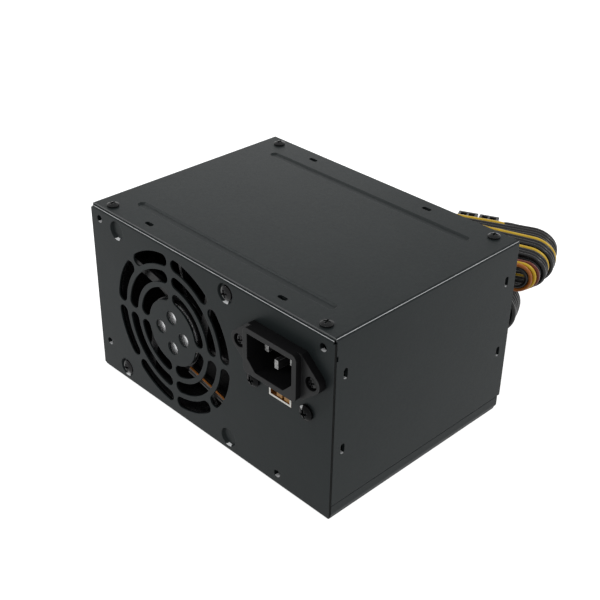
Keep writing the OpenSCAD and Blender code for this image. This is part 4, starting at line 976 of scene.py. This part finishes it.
wireTones = {
    "black": ((0.006, 0.006, 0.0065), (0.009, 0.009, 0.0095)),
    "yellow": ((0.66, 0.43, 0.020), (0.58, 0.36, 0.015)),
    "orange": ((0.40, 0.125, 0.018), (0.34, 0.10, 0.014)),
    "red": ((0.17, 0.030, 0.014), (0.13, 0.022, 0.010)),
}
jacket = {
    "patch": 6, "dust": 0.02, "rough": (0.24, 0.36), "spec": 0.3,
    "grain": 0.6, "height": 0.004, "edge": 0.05,
}
for colour, tones in wireTones.items():
    finish = makeFinish("jacket" + colour.capitalize(), dict(jacket, tones=tones))
    for wire in wires[colour]:
        wire.data.materials.append(finish)

innerWire = {"patch": 5, "dust": 0.1, "rough": (0.32, 0.45), "grain": 0.5, "height": 0.004, "edge": 0.1}
innerTones = {
    "inlet_wires": ("inletLeads", ((0.10, 0.05, 0.025), (0.08, 0.04, 0.02))),
    "selector_wires": ("selectorLeads", ((0.26, 0.03, 0.02), (0.2, 0.025, 0.015))),
    "output_leads": ("outputLeads", wireTones["black"]),
}
rubber = {
    "tones": ((0.013, 0.013, 0.013), (0.018, 0.018, 0.018)),
    "patch": 5, "dust": 0.04, "rough": (0.5, 0.65), "spec": 0.35, "grain": 0.3, "height": 0.012, "edge": 0.5,
}
nylon = {
    "tones": ((0.014, 0.014, 0.015), (0.019, 0.019, 0.020)),
    "patch": 5, "dust": 0.02, "rough": (0.3, 0.45), "spec": 0.45, "grain": 0.4, "height": 0.006, "edge": 0.3,
}
for name, (label, tones) in innerTones.items():
    dress(name, makeFinish(label, dict(innerWire, tones=tones)))
dress("grommet", makeFinish("grommetRubber", rubber))
plugNylon = makeFinish("plugNylon", nylon)
for name in ("plug_12v", "plug_drive", "plug_main", "cable_ties"):
    dress(name, plugNylon)
print("cables dressed")

# crimped terminals in the plug cells

terminal = {"side": 2.4, "wall": 0.25, "length": 5.0, "sunk": 1.6}
contact = {
    "count": 15, "pitch": 1.27, "wide": 0.8, "thick": 0.25, "length": 4.6,
    "inset": 1.2, "shelf": 1.62, "dip": 0.6,
}
tinLook = {
    "tones": ((0.60, 0.59, 0.57), (0.50, 0.49, 0.47)),
    "patch": 1.5, "rough": (0.22, 0.36), "metal": 1.0, "grain": 0.2, "height": 0.006, "edge": 0.05,
}
goldLook = dict(tinLook, tones=((0.72, 0.48, 0.16), (0.64, 0.42, 0.13)))


def boxSleeve(mesh, mouth, axes, spec):
    # a folded square sleeve with an open mouth, its length along the first axis
    way, side, up = axes
    outer, length = spec["side"] / 2, spec["length"]
    inner = outer - spec["wall"]
    rings = []
    for reach, depth in ((outer, 0.0), (outer, length), (inner, length), (inner, 0.0)):
        rings.append([mesh.verts.new((mouth + side * a * reach + up * b * reach + way * depth) * mm)
                      for a, b in ((-1, -1), (1, -1), (1, 1), (-1, 1))])
    for first, second in zip(rings, rings[1:] + rings[:1]):
        for i in range(4):
            mesh.faces.new((first[i], first[(i + 1) % 4], second[(i + 1) % 4], second[i]))


def finishMesh(name, mesh, material):
    bmesh.ops.recalc_face_normals(mesh, faces=mesh.faces)
    data = bpy.data.meshes.new(name)
    mesh.to_mesh(data)
    mesh.free()
    piece = bpy.data.objects.new(name, data)
    bpy.context.scene.collection.objects.link(piece)
    data.materials.append(material)
    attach(piece, "case")


def makeTerminals():
    tin = makeFinish("terminalTin", tinLook)
    gold = makeFinish("contactGold", goldLook)
    along, away, up = fromHank(1, 0, 0), fromHank(0, 1, 0), Vector((0, 0, 1))
    row = plugRows["main"]
    mesh = bmesh.new()
    for i in range(row["cells"]):
        v = row["mid"] + (i - (row["cells"] - 1) / 2) * row["pitch"]
        for z in row["z"]:
            mouth = fromHank(row["mouth"] + terminal["sunk"], v, z)
            boxSleeve(mesh, mouth, (along, away, up), terminal)
    finishMesh("mainTerminals", mesh, tin)
    row = plugRows["processor"]
    mesh = bmesh.new()
    half = row["pitch"] / 2
    for middle in row["mid"]:
        for a in (-half, half):
            for b in (-half, half):
                mouth = fromHank(middle + a, row["v"] + b, row["top"] - terminal["sunk"])
                boxSleeve(mesh, mouth, (-up, along, away), terminal)
    finishMesh("processorTerminals", mesh, tin)
    row = plugRows["drive"]
    mesh = bmesh.new()
    frameTurn = Matrix((along, away, up)).transposed()
    for i in range(contact["count"]):
        v = row["mid"] + (i - (contact["count"] - 1) / 2) * contact["pitch"]
        strip = bmesh.ops.create_cube(mesh, size=1.0)["verts"]
        middle = fromHank(row["mouth"] + contact["inset"] + contact["length"] / 2, v,
                          row["low"] + contact["shelf"] + contact["thick"] / 2)
        for vert in strip:
            x, y, z = vert.co
            size = Vector((x * contact["length"], y * contact["wide"], z * contact["thick"]))
            if x < 0 < z:
                size.z -= contact["thick"] * contact["dip"]  # the tip dips
            vert.co = (middle + frameTurn @ size) * mm
    finishMesh("driveContacts", mesh, gold)


makeTerminals()
print("terminals made")

# floor, world and lamps

studio = {
    "floorSize": 8.0,
    "floorDrop": 0.0002,  # keeps the floor clear of the underside
    "floorGlow": 0.80,  # what the camera and reflections see besides the lit floor
    "floorTone": 0.62,
    "worldLight": 0.62,
    "aim": (0, 0, 0.04),
    "lamps": (
        {"name": "frontLamp", "place": (-0.73, -0.62, 0.76), "size": 0.22, "watts": 3.0},
        {"name": "rearLamp", "place": (0.62, 0.72, 0.77), "size": 0.22, "watts": 3.0},
        {"name": "farLamp", "place": (-1.1, 1.0, 0.62), "size": 0.7, "watts": 0.7},
    ),
}


def seenRay(tree):
    # 1 for camera, glossy and transmission rays
    path = addNode(tree, "LightPath").outputs
    first = mathNode(tree, "MAXIMUM", path["Is Camera Ray"], path["Is Glossy Ray"])
    return mathNode(tree, "MAXIMUM", first, path["Is Transmission Ray"])


def makeFloor():
    mesh = bmesh.new()
    bmesh.ops.create_grid(mesh, x_segments=1, y_segments=1, size=studio["floorSize"] / 2)
    data = bpy.data.meshes.new("studioFloor")
    mesh.to_mesh(data)
    mesh.free()
    floor = bpy.data.objects.new("studioFloor", data)
    bpy.context.scene.collection.objects.link(floor)
    floor.location.z = -studio["floorDrop"]
    material = bpy.data.materials.new("studioFloor")
    material.use_nodes = True
    tree = material.node_tree
    shader = tree.nodes["Principled BSDF"]
    tone = studio["floorTone"]
    shader.inputs["Base Color"].default_value = (tone, tone, tone, 1)
    shader.inputs["Roughness"].default_value = 1.0
    shader.inputs["Specular IOR Level"].default_value = 0.0
    shader.inputs["Emission Color"].default_value = (1, 1, 1, 1)
    glow = mathNode(tree, "MULTIPLY", seenRay(tree), studio["floorGlow"])
    tree.links.new(glow, shader.inputs["Emission Strength"])
    data.materials.append(material)


def makeWorld():
    world = bpy.data.worlds.new("studioWorld")
    bpy.context.scene.world = world
    world.use_nodes = True
    tree = world.node_tree
    background = tree.nodes["Background"]
    background.inputs["Color"].default_value = (1, 1, 1, 1)
    level = addNode(tree, "MapRange", {"Value": seenRay(tree), "To Min": studio["worldLight"], "To Max": 1.0})
    tree.links.new(level.outputs[0], background.inputs["Strength"])


def makeLamps():
    for lamp in studio["lamps"]:
        data = bpy.data.lights.new(lamp["name"], "AREA")
        data.shape = "DISK"
        data.size = lamp["size"]
        data.energy = lamp["watts"]
        light = bpy.data.objects.new(lamp["name"], data)
        bpy.context.scene.collection.objects.link(light)
        place = Vector(lamp["place"])
        light.location = place
        light.rotation_euler = (Vector(studio["aim"]) - place).to_track_quat("-Z", "Y").to_euler()


makeFloor()
makeWorld()
makeLamps()
bpy.context.scene.view_settings.view_transform = "Standard"
print("studio made")

bpy.context.view_layer.update()
